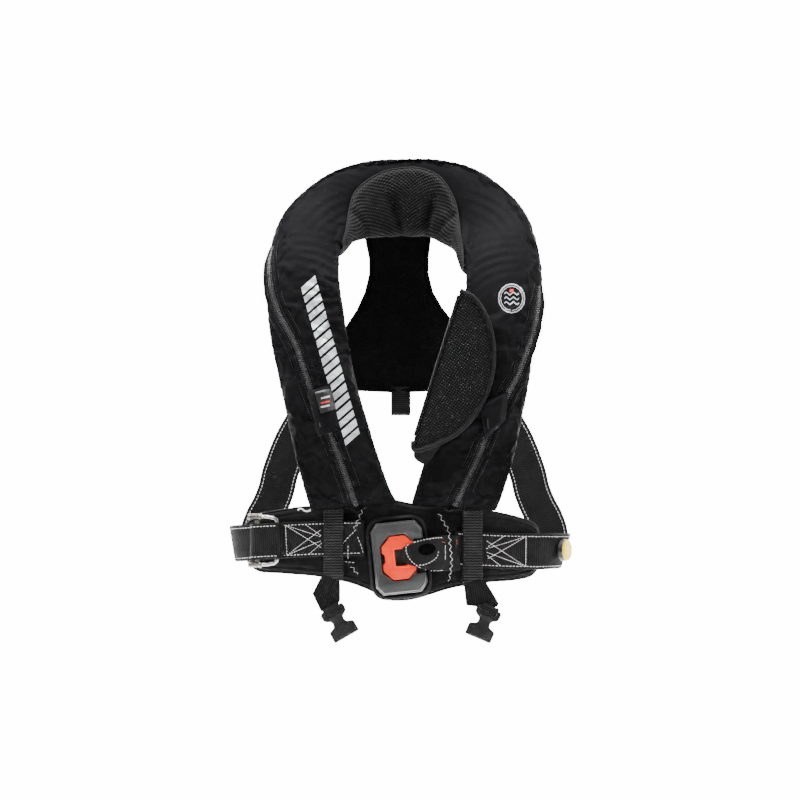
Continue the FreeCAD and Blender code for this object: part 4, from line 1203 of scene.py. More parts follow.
def belt_strap(name, node, first, last, rise):
    """Belt webbing from one angle to another; rise gives the height of its middle from x."""
    angles = np.radians(np.linspace(first, last, 46))
    path, across = [], []
    for a in angles:
        x, y = belt_point(a, BELT_OUT)
        lean = (0.28 if x > 0 else -0.16) * min(1, max(0, abs(x) - 150) / 45)
        path.append(((x - 19 * lean) * MM, y * MM, rise(x) * MM))
        across.append((lean, 0, 1))
    strap = Webbing(name, path, across, BELT_WIDTH, 2.2)
    finish_piece(strap.obj, "webbing", "root", (node,))
    return strap


def belt_rise_left(x):
    return -351.5 + 0.028 * (x + 100) + 3.0 * math.sin((x + 210) / 75)


def belt_rise_right(x):
    return -361.0 - 0.01 * (x - 100) - 3.0 * math.sin((x - 60) / 60)


def s_at(strap, x):
    """How far along the strap its middle passes x, on the front stretch."""
    index = np.where(strap.points[:, 1] < 0)[0]
    best = index[np.abs(strap.points[index, 0] - x * MM).argmin()]
    return strap.at[best] / MM


def build_belt():
    left = belt_strap("belt_left", "belt_webbing_left", -149, -5, belt_rise_left)
    right = belt_strap("belt_right", "belt_webbing_right", 7.6, 149, belt_rise_right)
    for strap, name, box in ((left, "left", (-147, -102)), (right, "right", (152, 102))):
        outward = -1 if face_sign(strap) < 0 else 1
        first, last = s_at(strap, box[0]), s_at(strap, box[1])
        whole = strap.length / MM
        threads = []
        for edge in (-BELT_SEAM, BELT_SEAM):
            threads += strap.stitch([(4, edge), (whole - 4, edge)], outward, **DASH)
        heavy = dict(length=3.2, gap=0.5, radius=0.42)
        threads += strap.stitch([(first, -BELT_SEAM), (first, BELT_SEAM)], outward, **heavy)
        wide = last - first
        for a, b in (
            ((0, -18.8), (1.0, 12)), ((0, 18.8), (1.0, -12)), ((0, 18.8), (1.0, 2)),
            ((0, -18.8), (1.0, -2)),
            ((0.55, 18.8), (1.0, 3)), ((0.62, -18.8), (1.0, -5)),
        ):
            marks = [(first + wide * a[0], a[1]), (first + wide * b[0], b[1])]
            threads += strap.stitch(marks, outward, length=2.6, gap=0.6, radius=0.36)
        finish_parts(f"belt_{name}_stitches", threads, "thread", "root")
        build_belt_fold(name)


def build_belt_fold(name):
    """The strap's folded second layer, which the crossed stitches sew down."""
    near, far = ((-150, -103), (150, 103))[name == "right"]
    rise = belt_rise_left if name == "left" else belt_rise_right
    xs = np.linspace(near, far, 12)
    path = [(*(c * MM for c in belt_point(belt_angle(x), 12.9)), rise(x) * MM) for x in xs]
    fold = Webbing(f"belt_{name}_fold", path, [(0, 0, 1)] * 12, 45.4, 0.7)
    finish_piece(fold.obj, "webbing", "root")


def face_sign(strap):
    """Which face of a belt strap looks outwards, judged at its front."""
    index = strap.points[:, 1].argmin()
    return 1 if strap.normals[index][1] < 0 else -1


PAD_EDGES = {
    "left": (
        ((-206, -345), (-202, -331), (-190, -320), (-165, -315), (-122, -309), (-60, -308), (-15, -299)),
        ((-206, -352), (-200, -375), (-184, -388), (-150, -391), (-105, -395), (-60, -405), (-15, -425)),
    ),
    "right": (
        ((-21, -299), (20, -307), (60, -308), (112, -315), (150, -324), (166, -333), (172, -352)),
        ((-21, -425), (12, -423), (60, -409), (105, -402), (141, -399), (164, -391), (172, -362)),
    ),
}


def build_belt_pads():
    for name, (top, bottom) in PAD_EDGES.items():
        top, bottom = smooth_path(top, samples=220), smooth_path(bottom, samples=220)
        t = np.linspace(0, 1, 70)
        x = top[:, 0, None] * (1 - t) + bottom[:, 0, None] * t
        z = top[:, 1, None] * (1 - t) + bottom[:, 1, None] * t
        tall = (top[:, 1] - bottom[:, 1])[:, None]
        from_edge = np.minimum(t, 1 - t) * tall
        outer_end = np.arange(220) if name == "left" else np.arange(220)[::-1]
        from_edge = np.minimum(from_edge, outer_end[:, None] * 0.9)
        plump = 1 - np.exp(-from_edge / 3.5)
        channel = np.exp(-(((from_edge - 7.5) / 1.1) ** 2))
        seed = np.stack([x, z * 0, z], -1) * MM
        soft = noise_at(seed, 40.0, 1.0) * 0.8 + noise_at(seed, 110.0, 6.0) * 0.35
        front = np.zeros(x.shape + (3,))
        rear = np.zeros(x.shape + (3,))
        for i in range(x.shape[0]):
            for j in range(x.shape[1]):
                a = belt_angle(x[i, j])
                out = 3.2 + 4.6 * plump[i, j] - 1.0 * channel[i, j] + soft[i, j] * plump[i, j]
                front[i, j] = (*belt_point(a, min(out, 8.6)), z[i, j])
                rear[i, j] = (*belt_point(a, 2.8 - 2.6 * plump[i, j]), z[i, j])
        ring = np.concatenate([front, rear[:, ::-1]], axis=1) * MM
        pad = grid_piece(f"belt_cushion_{name}", ring, wrap_v=True, caps=True)
        finish_piece(pad, "pad", "root", (f"belt_pad_{name}",))
        if name == "right":
            outline = np.concatenate([front[:, 0], front[-1], front[:, -1][::-1]])
        else:
            outline = np.concatenate([front[:, 0][::-1], front[0], front[:, -1]])
        edge = smooth_path(outline[::9] * MM, step=1.5 * MM)
        finish_parts(f"belt_piping_{name}", [tube_part(edge, 1.5 * MM, 8)], "binding", "root")


def build_back_straps():
    path = ((183, 41, -376), (184, 44, -346), (177.5, 48, -325), (169, 50, -309), (161, 52.5, -289),
            (155, 55, -265),
            (142, 59, -231), (127, 62.5, -204), (112, 65, -186), (96, 66.5, -168), (84, 68, -150))
    for name, side in SIDES:
        points = [(x * side, y, z) for x, y, z in path]
        line = np.array(points, float) * MM
        along = unit(np.gradient(line, axis=0))
        across = unit(np.cross(along, (0, 1, 0.0)))
        taper = ((0, 44), (0.2, BELT_WIDTH), (1, BELT_WIDTH))
        strap = Webbing(f"strap_{name}", line, across, BELT_WIDTH, 1.8, pitch=2.2, taper=taper)
        finish_piece(strap.obj, "webbing", "root", (f"back_strap_{name}",))
        whole, threads = strap.length / MM, []
        for face in (-1, 1):
            for edge in (-18.4, 18.4):
                threads += strap.stitch([(3, edge), (whole - 3, edge)], face, **DASH)
        finish_parts(f"strap_{name}_stitches", threads, "thread", "root")


def build_hanging_tab():
    path = np.array([(-4, 79.6, -158), (-4, 79.4, -175), (-4, 79.8, -190), (-4, 82.9, -193.6),
                     (-4, 86.2, -190),
                     (-4, 86.6, -175), (-4, 86.2, -158)], float) * MM
    tab = Webbing("hanging_loop", path, [(1, 0, 0)] * 7, 24.5, 1.3, pitch=2.4, columns=19)
    finish_piece(tab.obj, "webbing", "root", ("hanging_tab",))


CROTCH = {"left": (-87, -319.5, -396, -351.5), "right": (84.5, -322.5, -402.5, -361)}


def build_crotch_loops():
    for name, (x, top, low, belt_z) in CROTCH.items():
        a = belt_angle(x)
        out = np.array([math.sin(a), -math.cos(a), 0])
        base = np.array([*belt_point(a, 0), 0.0])
        marks = ((9.3, low), (9.3, belt_z), (9.4, top + 5), (10.6, top + 1.2), (12.6, top),
                 (14.8, top + 1.4), (15.6, top + 6),
                 (15.7, belt_z), (15.6, low + 8), (14.2, low), (12.4, low - 5))
        path = [(base + out * reach + (0, 0, z)) * MM for reach, z in marks]
        across = [np.array([math.cos(a), math.sin(a), 0])] * len(path)
        loop = Webbing(f"crotch_{name}", path, across, 25, 1.2, pitch=3.4, relief=0.6, columns=19, step=0.4)
        finish_piece(loop.obj, "loop", "root", (f"crotch_loop_{name}",))


# Each tail is a folded sheet of webbing: its outline as (x, z), and the lean of its ribs.
TAILS = {
    "left": (((-103, -393.5), (-80, -393.5), (-79.5, -425), (-82, -431), (-104, -440), (-115, -417)), 0.30),
    "right": (((74, -400.5), (102, -400.5), (104, -404), (119, -429), (117, -434), (93, -434),
               (77.5, -432)), -0.12),
}


def build_tails():
    for name, (outline, lean) in TAILS.items():
        ring = np.array(round_corners(outline, 1.5, 3), float)
        rib = lambda x, z: 0.5 + 0.5 * np.cos((x + lean * z) * 2 * math.pi / 2.3)
        half = lambda x, z, far: (0.9 + 0.4 * (rib(x, z) - 0.5)) * np.clip(far / 0.8, 0.05, 1)
        sides = (lambda x, z, far: -91.0 - half(x, z, far), lambda x, z, far: -91.0 + half(x, z, far))
        # The rib hollows go to the cloth attribute, where the webbing material darkens them as painted shade.
        tail = clipped_sheet(f"tail_{name}", ring, 0.5, sides, lambda x, z: 1 - rib(x, z))
        finish_piece(tail, "webbing", "root", (f"crotch_tail_{name}",))


# ---------------------------------------------------------------- buckles and fittings

def turned(centre, lean):
    """A placement that leans a piece in the XZ plane about a point, in mm."""
    shift = Matrix.Translation(Vector(centre) * MM)
    return shift @ Matrix.Rotation(math.radians(lean), 4, "Y")


BUCKLE_PLACE = dict(centre=(-6.5, 0, -372), lean=-6)
OCTAGON = ((-20.5, 15), (-9, 27.5), (10, 27.5), (20.5, 17), (20.5, -17), (10, -27.5), (-9, -27.5),
           (-20.5, -16))
NOTCHED = OCTAGON + ((-20.5, -7), (-17.5, -4.5), (-17.5, 4), (-20.5, 7))
FRAME_OUT = ((-32, 35), (-24, 45), (24, 45), (32.5, 34), (32.5, 22), (20.5, 22), (20.5, 17.6), (10, 28.6),
             (-9, 28.6),
             (-21.8, 15.6), (-21.8, -16.6), (-9, -28.6), (10, -28.6), (20.5, -17.6), (20.5, -22),
             (32.5, -22),
             (32.5, -34), (24, -45), (-24, -45), (-32, -35))


def build_buckle():
    place = turned(BUCKLE_PLACE["centre"], BUCKLE_PLACE["lean"])
    base = rounded_rect(77, 104, 24)
    pad = plate("buckle_cushion", [base], -105.3, 7.6, 3.4, place=place, steps=6)
    finish_piece(pad, "pad", "root", ("buckle_pad",))
    ridge = [(x, -105.0, z) for x, z in rounded_rect(70, 97, 22)]
    ridge = [place @ (Vector(p) * MM) for p in ridge + ridge[:1]]
    finish_parts("buckle_cushion_rim", [tube_part(np.array(ridge), 2.2 * MM, 10)], "pad", "root")
    floor = plate("buckle_floor", [rounded_rect(62, 88, 14)], -108.6, 3.0, 0.8, place=place)
    finish_piece(floor, "grey", "root", ("buckle_frame",))
    walls = plate("buckle_walls", [FRAME_OUT], -119.4, 11.0, 1.6, place=place, steps=1)
    finish_piece(walls, "grey", "root")
    rim = [(x * 0.96, z * 0.965) for x, z in FRAME_OUT[:5]] + [FRAME_OUT[5], *FRAME_OUT[6:14],
                                                               FRAME_OUT[14]]
    rim += [(x * 0.96, z * 0.965) for x, z in FRAME_OUT[15:]]
    crown = plate("buckle_crown", [rim], -123.6, 6.0, 2.6, place=place, steps=1)
    finish_piece(crown, "grey", "root")
    hole = ((-4.5, 10.5), (9.8, 10.5), (9.8, -10.5), (-4.5, -10.5))
    window = round_corners(hole, 1.2, 3)
    tongue = plate("buckle_plate", [round_corners(NOTCHED, 1.5, 3), window], -121.9, 5.4, 1.2, place=place,
                   steps=2)
    finish_piece(tongue, "orange", "tongue", ("buckle_tongue",))
    lip_edge = round_corners(((-7.5, 13.5), (13, 13.5), (13, -13.5), (-7.5, -13.5)), 2, 3)
    lip = plate("buckle_plate_lip", [lip_edge, window], -122.5, 1.4, 0.5, place=place)
    finish_piece(lip, "orange", "tongue")
    for index, (x, z) in enumerate(((-27, 36), (26, 37), (-27, -36), (26, -37))):
        head = place @ (Vector((x, -109.6, z)) * MM)
        rivet = lathe(f"rivet_{index}", head, FRONT, ((0, 1.2), (1.6, 1.0), (2.4, 0.3), (2.6, -0.6),
                                                      (2.6, -1.4)))
        node = ("buckle_rivets",) if index == 0 else ()
        finish_piece(rivet, "steel", "root", node)


def rounded_rect(width, height, radius):
    w, h = width / 2, height / 2
    return round_corners(((-w, h), (w, h), (w, -h), (-w, -h)), radius, 8)


def lathe(name, place, axis, profile, turns=40, lobes=0, lobe_depth=0.0):
    """A turned piece: profile is (radius, height along the axis) in mm, from the middle of its front."""
    axis = np.array(Vector(axis).normalized())
    side = unit(np.cross(axis, (0.1, 0.2, 1.0)))
    other = np.cross(axis, side)
    angles = np.linspace(0, 2 * math.pi, turns, endpoint=False)
    wave = 1 + lobe_depth * np.cos(angles * lobes) if lobes else np.ones(turns)
    grid = []
    for radius, height in profile:
        grow = wave if radius > 4 else np.ones(turns)
        ring = np.cos(angles)[:, None] * side + np.sin(angles)[:, None] * other
        ring = ring * (max(radius, 0.02) * grow)[:, None]
        grid.append((ring + axis * height) * MM + np.array(place))
    obj = grid_piece(name, np.array(grid), wrap_v=True, caps=True)
    weld(obj, 40)
    return obj


def build_side_button():
    a = math.radians(60)
    x, y = belt_point(a, 13.2)
    face = math.radians(66)
    out = Vector((math.sin(face), -math.cos(face), 0))
    place = Vector((x - 3.0, y - 2.5, -363)) * MM
    base = lathe("button_base", place, out, ((0, 6.6), (12.2, 6.6), (13.2, 6.0), (13.6, 4.8), (13.6, 0.6),
                                             (13, 0.1)))
    finish_piece(base, "black", "root", ("side_button_base",))
    cap = lathe("button_cap", place, out, ((0, 9.0), (7.5, 9.0), (8.0, 8.5), (8.6, 8.5), (9.1, 9.0),
                                           (12.0, 8.8), (13, 8.0),
                                           (13, 6.3)), lobes=12, lobe_depth=0.012)
    finish_piece(cap, "yellow", "root", ("side_button_cap",))


def build_adjuster():
    angle = -math.asin(163 / 500)
    x, y = belt_point(angle, 13.2 + 4.8)
    across = np.array([math.cos(angle), math.sin(angle), 0])
    centre = np.array([x, y, -351.0])
    out = np.array([math.sin(angle), -math.cos(angle), 0])
    local = lambda u, v, w=0.0: (centre + across * u + np.array([0, 0, v]) + w * out) * MM
    high, reach = 29.6, 16.0
    bow = [(-15, high), (2, high), (8, high - 1)]
    bow += [(reach - 7 + 7 * math.sin(t), high - 8 + 7 * math.cos(t)) for t in np.radians(np.linspace(10,
                                                                                                      90,
                                                                                                      8))]
    bow = bow + [(u, -v) for u, v in reversed(bow)]
    wire = smooth_path([local(u, v) for u, v in bow], step=0.8 * MM)
    finish_parts("bow_wire", [tube_part(wire, 2.45 * MM, 16)], "steel", "bow", ("adjuster_bow",))
    parts = []
    for v in (high, -high):
        span = np.linspace(-22, -4, 190)
        ribbed = (span > -19) & (span < -7)
        fine = 4.3 - 1.1 * np.abs(np.sin(np.clip(span + 19, 0, 12) * math.pi / 2.0)) * ribbed
        fine = fine * np.clip(np.minimum(span + 22.3, -3.7 - span) / 1.0, 0.4, 1) ** 0.5
        parts.append(tube_part([local(u, v) for u in span], fine * MM, 20))
    finish_parts("ribbed_sleeves", parts, "dull_steel", "root", ("adjuster_sleeves",))
    bar = []
    for v in np.arange(-26, 26, 0.4):
        bar.append((v, 1.0 if (v % 4.0) < 2.2 else 0.62))
    vertices, faces = [], []
    for v, tooth in bar:
        for u, w in ((-12 - 1.4 * tooth, -1.4), (-7, -1.4), (-7, 1.4), (-12 - 1.4 * tooth, 1.4)):
            vertices.append(tuple(local(u, v, w)))
    faces = [tuple(f) for f in grid_faces(len(bar), 4, True)]
    faces += [(3, 2, 1, 0), tuple(range(4 * len(bar) - 4, 4 * len(bar)))]
    teeth = mesh_piece("toothed_bar", vertices, faces)
    weld(teeth, 30)
    finish_piece(teeth, "steel", "root", ("adjuster_tooth_bar",))
    marks = ((-188, 14.5), (-186.5, 18), (-183, 21.8), (-176, 22.6), (-165, 22.8), (-157, 22.8),
             (-152.6, 20.6), (-150.4, 17), (-149.4, 14.8))
    path = [(*(c * MM for c in belt_point(belt_angle(x), proud)), belt_rise_left(x) * MM) for x,
            proud in marks]
    cover = Webbing("adjuster_wrap", path, [(0, 0, 1)] * len(path), 45.2, 1.3)
    finish_piece(cover.obj, "webbing", "root")
    sign = 1 if cover.normals[len(cover.normals) // 2][1] < 0 else -1
    whole = cover.length / MM
    threads = []
    for edge in (-BELT_SEAM, BELT_SEAM):
        threads += cover.stitch([(4, edge), (whole - 9, edge)], sign, **DASH)
    finish_parts("adjuster_wrap_stitches", threads, "thread", "root")


SOCKETS = {"left": ((-90.5, -437.2), -30), "right": ((107, -437.2), 23)}
SOCKET_RIGHT = ((14.0, 2.0), (16.2, -1), (16.0, -8), (13.0, -11.0), (8.8, -13.0), (7.6, -17), (9.0, -21),
                (12.6, -22.6),
                (16.2, -23.8), (17.3, -26), (17.3, -38.8))


def build_wraps():
    """The crotch webbing's end, wrapped round each socket's bar."""
    ring = ((-89.0, -7.6), (-87.6, -3.0), (-88.4, 2.2), (-92.6, 4.6), (-96.9, 3.4), (-98.9, -1.0),
            (-98.6, -5.8), (-95.4, -7.9))
    for name, ((x, z), lean) in SOCKETS.items():
        place = turned((x, 0, z), lean)
        path = [place @ (Vector((0, y, up)) * MM) for y, up in ring]
        across = [place.to_3x3() @ Vector((1, 0, 0))] * len(path)
        wrap = Webbing(f"bar_wrap_{name}", path, across, 22.5, 1.2, columns=17, step=0.4)
        finish_piece(wrap.obj, "webbing", "root")


def build_sockets():
    outline = [(-x, z) for x, z in SOCKET_RIGHT] + list(reversed(SOCKET_RIGHT))
    slot = ((-9.8, -3.6), (9.8, -3.6), (9.8, -7.0), (-9.8, -7.0))
    for name, ((x, z), lean) in SOCKETS.items():
        place = turned((x, 0, z), lean)
        loops = [round_corners(outline, 1.6, 3), round_corners(slot, 1.5, 3)]
        body = plate(f"socket_{name}", loops, -97.2, 9.6, 1.6, place=place)
        finish_piece(body, "socket", f"socket_{name}", (f"crotch_buckle_{name}",))
        raised = round_corners(((-11.5, -25.5), (11.5, -25.5), (13.5, -37), (-13.5, -37)), 2, 3)
        ridge = plate(f"socket_{name}_ridge", [raised], -98.0, 1.4, 0.6, place=place)
        finish_piece(ridge, "socket", f"socket_{name}")
        # A near-black sheet across the socket's opening: painted shade standing in for the dark inside of the
        # mouth.
        opening = ((-13.3, -38.75), (13.3, -38.75), (13.3, -38.95), (-13.3, -38.95))
        mouth_shade = plate(f"socket_{name}_mouth", [opening], -95.2, 5.6, 0.05, place=place)
        finish_piece(mouth_shade, "dark", f"socket_{name}")


def build_tether():
    """The folded end of the right belt webbing, drawn through the tongue's window round its right bar."""
    marks = (
        (62, -93.5, -366.5, 42), (40, -100, -366, 40), (22, -112, -367, 30), (10, -115, -368, 20),
        (3, -118.5, -368, 16),
        (-1.0, -121.8, -368, 17), (1.5, -124.4, -368, 21), (9, -125.2, -368, 27), (20, -124.8, -367.5, 34),
        (34, -122.5, -367, 41),
        (50, -112, -366.5, 45), (60, -106.0, -366, 45.2), (68, -103.4, -365.5, 45.2),
    )
    path = [(x * MM, y * MM, z * MM) for x, y, z, _ in marks]
    run = run_along(np.array(path))
    taper = [(r / run[-1], m[3]) for r, m in zip(run, marks)]
    strap = Webbing("tether", path, [(0, 0, 1)] * len(path), 45, 1.3, pitch=1.7, columns=31, taper=taper)
    finish_piece(strap.obj, "webbing", "root", ("tether_loop",))


def front_stitches(tree, path, **kind):
    """Stitches on whatever lies in front, along a path of (x, z) in mm."""
    line = np.array(path, float)
    dense = []
    for a, b in zip(line, line[1:]):
        count = max(2, int(np.linalg.norm(b - a) / 0.8))
        dense += [a + (b - a) * k / count for k in range(count)]
    dense.append(line[-1])
    hits = [drop(tree, x * MM, z * MM) for x, z in dense]
    return stitch_parts([p + n * 0.15 * MM for p, n in hits], [n for _, n in hits], **kind)


def zigzag(path, swing=3.3, period=8.0):
    line = smooth_path(np.array(path, float), step=period / 2)
    along = unit(np.gradient(line, axis=0))
    side = np.stack([-along[:, 1], along[:, 0]], -1)
    flip = np.where(np.arange(len(line)) % 2, 1, -1)[:, None]
    return line + side * flip * swing / 2


def build_belt_marks():
    names = ("belt_left", "belt_right", "belt_cushion_left", "belt_cushion_right", "tether",
             "buckle_cushion")
    trees = join_trees([bpy.data.objects[n] for n in names])
    solid = dict(length=2.6, gap=0.35, radius=0.34)
    threads = []
    for path in (
        ((44, -317), (49, -327), (55, -337), (57, -348), (58, -360), (59, -372), (59, -385), (56, -402)),
        ((-52, -312), (-57, -325), (-63, -338)),
        ((-66, -383), (-61, -389), (-57, -395)),
    ):
        threads += front_stitches(trees, zigzag(path), **solid)
    for path in (
        ((-80, -359), (-70, -347), (-59, -336)), ((-70, -357), (-70, -377)), ((-74, -377), (-58, -379)),
        ((-58, -346), (-54, -356), (-51, -366)),
    ):
        threads += front_stitches(trees, path, **DASH)
    tip = [(47, -347), (38, -347.5), (26, -349.5), (14, -352.5), (6, -355.5), (2.6, -360), (4, -368),
           (9, -376), (18, -383),
           (30, -388), (42, -388.5), (50, -387)]
    threads += front_stitches(trees, smooth_path(tip, step=1.0), **DOT)
    inner = smooth_path([(43, -364), (41, -371), (34, -377), (24, -381), (16, -381)], step=1.0)
    threads += front_stitches(trees, inner, **DOT)
    threads += front_stitches(trees, ((51.5, -356), (51.5, -376)), length=6, gap=0.3, radius=0.3)
    finish_parts("belt_marks", threads, "thread", "root")
    turns = np.linspace(0, 2 * math.pi, 17)
    rim = [np.array((28.5 + 10.5 * math.cos(a) - 2.5 * math.sin(a),
                     -361.5 + 6.8 * math.sin(a) + 2.5 * math.cos(a)))
           for a in turns]
    middle = np.mean(rim[:-1], axis=0)
    wedges = []
    for k in range(16):
        corners = [middle, rim[k], rim[k + 1], middle + (0.01, 0.01)]
        wedges.append(draped(f"eye_{k}", trees, corners, 0.25, 0.5, 1.0))
    finish_piece(merge(wedges, "tether_eye"), "edge", "root")
    red = front_stitches(trees, ((47, -352), (52, -353.5)), length=2.4, gap=0.6, radius=0.6)
    red += front_stitches(trees, ((66, -350), (66, -356)), length=2.4, gap=0.8, radius=0.5)
    finish_parts("bar_tack", red, "rust", "root")


def join_trees(objects):
    vertices, faces = [], []
    for obj in objects:
        start = len(vertices)
        vertices += [obj.matrix_world @ v.co for v in obj.data.vertices]
        faces += [tuple(i + start for i in p.vertices) for p in obj.data.polygons]
    return BVHTree.FromPolygons(vertices, faces)


# ---------------------------------------------------------------- marks and small pieces on the cover

def draped(name, tree, corners, lift, thick, cell=1.2, crown=None, reach=0.0):
    """A four-sided patch that lies on the surface; corners are (x, z) in mm in turn."""
    a, b, c, d = (np.array(p, float) for p in corners)
    n = max(3, int(max(np.linalg.norm(b - a), np.linalg.norm(c - d)) / cell) + 1)
    m = max(3, int(max(np.linalg.norm(d - a), np.linalg.norm(c - b)) / cell) + 1)
    u, v = np.linspace(0, 1, n), np.linspace(0, 1, m)
    top = np.zeros((n, m, 3))
    low = np.zeros((n, m, 3))
    for i, s in enumerate(u):
        for j, t in enumerate(v):
            x, z = a * (1 - s) * (1 - t) + b * s * (1 - t) + c * s * t + d * (1 - s) * t
            hit, normal = drop(tree, x * MM, z * MM)
            top[i, j] = hit + normal * (lift + thick) * MM
            if crown:
                top[i, j, 1] -= max(0.0, top[i, j, 1] - reach * MM) * crown(s, t)
            low[i, j] = hit + normal * (lift - 0.3) * MM
    shell = [(list(map(tuple, top.reshape(-1, 3))), [tuple(f) for f in grid_faces(n, m)])]
    rim = [(i, 0) for i in range(n)] + [(n - 1, j) for j in range(1, m)]
    rim += [(i, m - 1) for i in range(n - 2, -1, -1)] + [(0, j) for j in range(m - 2, 0, -1)]
    wall = [tuple(top[i, j]) for i, j in rim] + [tuple(low[i, j]) for i, j in rim]
    count = len(rim)
    shell.append((wall, [(k, (k + 1) % count, count + (k + 1) % count, count + k) for k in range(count)]))
    obj = join_parts(name, shell)
    weld(obj, 40)
    return obj


def build_print(tree):
    """Reflective slanted bars down the left lobe, and a plain wave badge on the right lobe."""
    start, end = np.array([-120.0, -27.0]), np.array([-62.0, -232.0])
    along = (end - start) / np.linalg.norm(end - start)
    side = np.array([-along[1], along[0]])
    length = np.linalg.norm(end - start)
    pitch, wide, parts = 23.2, 10.5, []
    for index in range(9):
        at = index * pitch
        for shift, deep in ((0.0, 9.0), (12.2, 7.4)):
            low, high = at + shift, at + shift + deep
            if high > length:
                continue
            slant = 5.0
            corners = [
                start + along * (low + slant) - side * wide, start + along * (high + slant) - side * wide,
                start + along * (high - slant) + side * wide, start + along * (low - slant) + side * wide,
            ]
            parts.append(draped(f"bar_{index}_{shift}", tree, corners, 0.12, 0.12))
    finish_piece(merge(parts, "reflective_bars"), "reflective", "root")
    centre = np.array([134.5, -48.0])
    rings = []
    for inner, outer in ((15.6, 17.0), (13.4, 14.2)):
        for k in range(16):
            a0, a1 = 2 * math.pi * k / 16, 2 * math.pi * (k + 1) / 16
            corner = lambda r, a: centre + r * np.array([math.cos(a), 1.1 * math.sin(a)])
            corners = [corner(inner, a0), corner(outer, a0), corner(outer, a1), corner(inner, a1)]
            rings.append(draped(f"ring_{inner}_{k}", tree, corners, 0.12, 0.12))
    for row in (-6.0, 0.0, 6.0):
        for k in range(8):
            x0, x1 = -9 + k * 2.25, -9 + (k + 1) * 2.25
            wave = lambda x: row + 1.8 * math.sin(x * 0.7)
            marks = ((x0, -0.8), (x1, -0.8), (x1, 0.8), (x0, 0.8))
            corners = [centre + (x, wave(x) + half) for x, half in marks]
            rings.append(draped(f"wave_{row}_{k}", tree, corners, 0.12, 0.12))
    finish_piece(merge(rings, "badge"), "reflective", "root")
    corners = [centre + mark for mark in ((-3, 7.6), (3, 7.6), (2.2, 11.6), (-2.2, 11.6))]
    dot = draped("badge_dot", tree, corners, 0.12, 0.14)
    finish_piece(dot, "red", "root")


def merge(objects, name):
    """One object from several meshes."""
    parts = []
    for obj in objects:
        vertices = [tuple(v.co) for v in obj.data.vertices]
        parts.append((vertices, [tuple(p.vertices) for p in obj.data.polygons]))
        bpy.data.objects.remove(obj)
    merged = join_parts(name, parts)
    weld(merged, 40)
    return merged


def build_garages(tree):
    arch = lambda s, t: (1 - abs(2 * s - 1) ** 3.0) * min(1, (1 - abs(2 * t - 1)) * 5) ** 0.6
    for name, corners in (("left", [(-122, -164), (-92, -156), (-80, -212), (-108, -221)]),
                          ("right", [(94, -180), (130, -164), (127, -200), (101, -226)])):
        garage = draped(f"garage_{name}", tree, corners, 0.3, 1.0, 1.0, arch, -137.4)
        finish_piece(garage, "nylon", "root", (f"zip_garage_{name}",))
    face = tree_of(bpy.data.objects["garage_left"])
    label = draped("garage_label", face, [(-111, -166), (-92, -161), (-85, -186), (-104, -192)], 0.2, 0.7,
                   1.0)
    finish_piece(label, "black", "root", ("label_patch",))
    over = tree_of(label)
    for index, (low, key) in enumerate(((172, "reflective"), (178, "red"), (183, "reflective"))):
        corners = [(-104, -low), (-93, -low + 2.6), (-92.4, -low + 0.6), (-103.4, -low - 2)]
        mark = draped(f"label_bar_{index}", over, corners, 0.05, 0.15, 1.0)
        finish_piece(mark, key, "root")
    for name, edges in (("left", [((-120, -166), (-106, -219)), ((-90, -160), (-80, -210))]),
                        ("right", [((96, -182), (103, -224)), ((129, -168), (126, -200))])):
        face = tree_of(bpy.data.objects[f"garage_{name}"])
        threads = []
        for path in edges:
            threads += front_stitches(face, path, length=2.2, gap=1.1, radius=0.26)
        finish_parts(f"garage_{name}_stitches", threads, "dark_thread", "root")


def build_sliders():
    """Better skins for the sliders, which ride the zips inside the garages."""
    for name, _ in SIDES:
        low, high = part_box(f"zip_slider_{name}")
        middle = (Vector(low) + Vector(high)) / 2
        size = (Vector(high) - Vector(low)) / MM
        outline = rounded_rect(size.x * 0.94, size.z * 0.94, 3)
        loop = [(x + middle.x / MM, z + middle.z / MM) for x, z in outline]
        body = plate(f"slider_{name}", [loop], low[1] / MM + 0.1, size.y - 0.2, 0.9)
        finish_piece(body, "black", f"slider_{name}", (f"zip_slider_{name}",))


def build_flap_web():
    """The cloth that joins the flap's fold line to the lobe."""
    top, bottom = np.array([69, -39.0]), np.array([11, -228.0])
    rows = 60
    t = np.linspace(0, 1, rows)
    line = top[None] * (1 - t[:, None]) + bottom[None] * t[:, None]
    drop_x = 9.0 * np.sin(math.pi * t) ** 0.5 + 1.0
    grid = []
    for k in range(9):
        s = k / 8
        x = line[:, 0] + 1.5 + drop_x * math.sin(s * math.pi * 0.5) * 0.35
        y = -127.5 + 24 * s
        grid.append(np.stack([x, np.full(rows, y), line[:, 1]], -1) * MM)
    grid = np.array(grid)
    grid[..., 0] += noise_at(grid, 55.0, 3.0) * 1.2 * MM * np.linspace(0, 1, 9)[:, None]
    corner = round_corners(((11.5, -230), (12, -246), (16, -251), (27, -257), (48, -229)), 3, 4)
    under = plate("flap_web_corner", [corner], -127.6, 2.0, 0.6, steps=1)
    finish_piece(under, "binding", "flap")
    web = grid_piece("flap_web_cloth", grid)
    finish_piece(web, "nylon", "root", ("flap_web",))


def build_bladder():
    """The folded bladder inside the cover, with its folds and welded seam."""
    samples, around = 170, 48
    middle, width, front = cover_frames(samples)
    angle = np.broadcast_to(np.linspace(0, 2 * math.pi, around, endpoint=False), (samples, around))
    pleat = 1 - 0.10 * np.abs(np.sin(angle * 4))
    grid = cover_point(middle[:, None], width[:, None] * 0.64, front[:, None] * 0.42, angle, -1 * MM)
    grid = middle[:, None] + (grid - middle[:, None]) * pleat[..., None]
    inside = grid_piece("folded_bladder", close_ends(grid[5:-5]), wrap_v=True, caps=True)
    finish_piece(inside, "bladder", "root", ("bladder",))


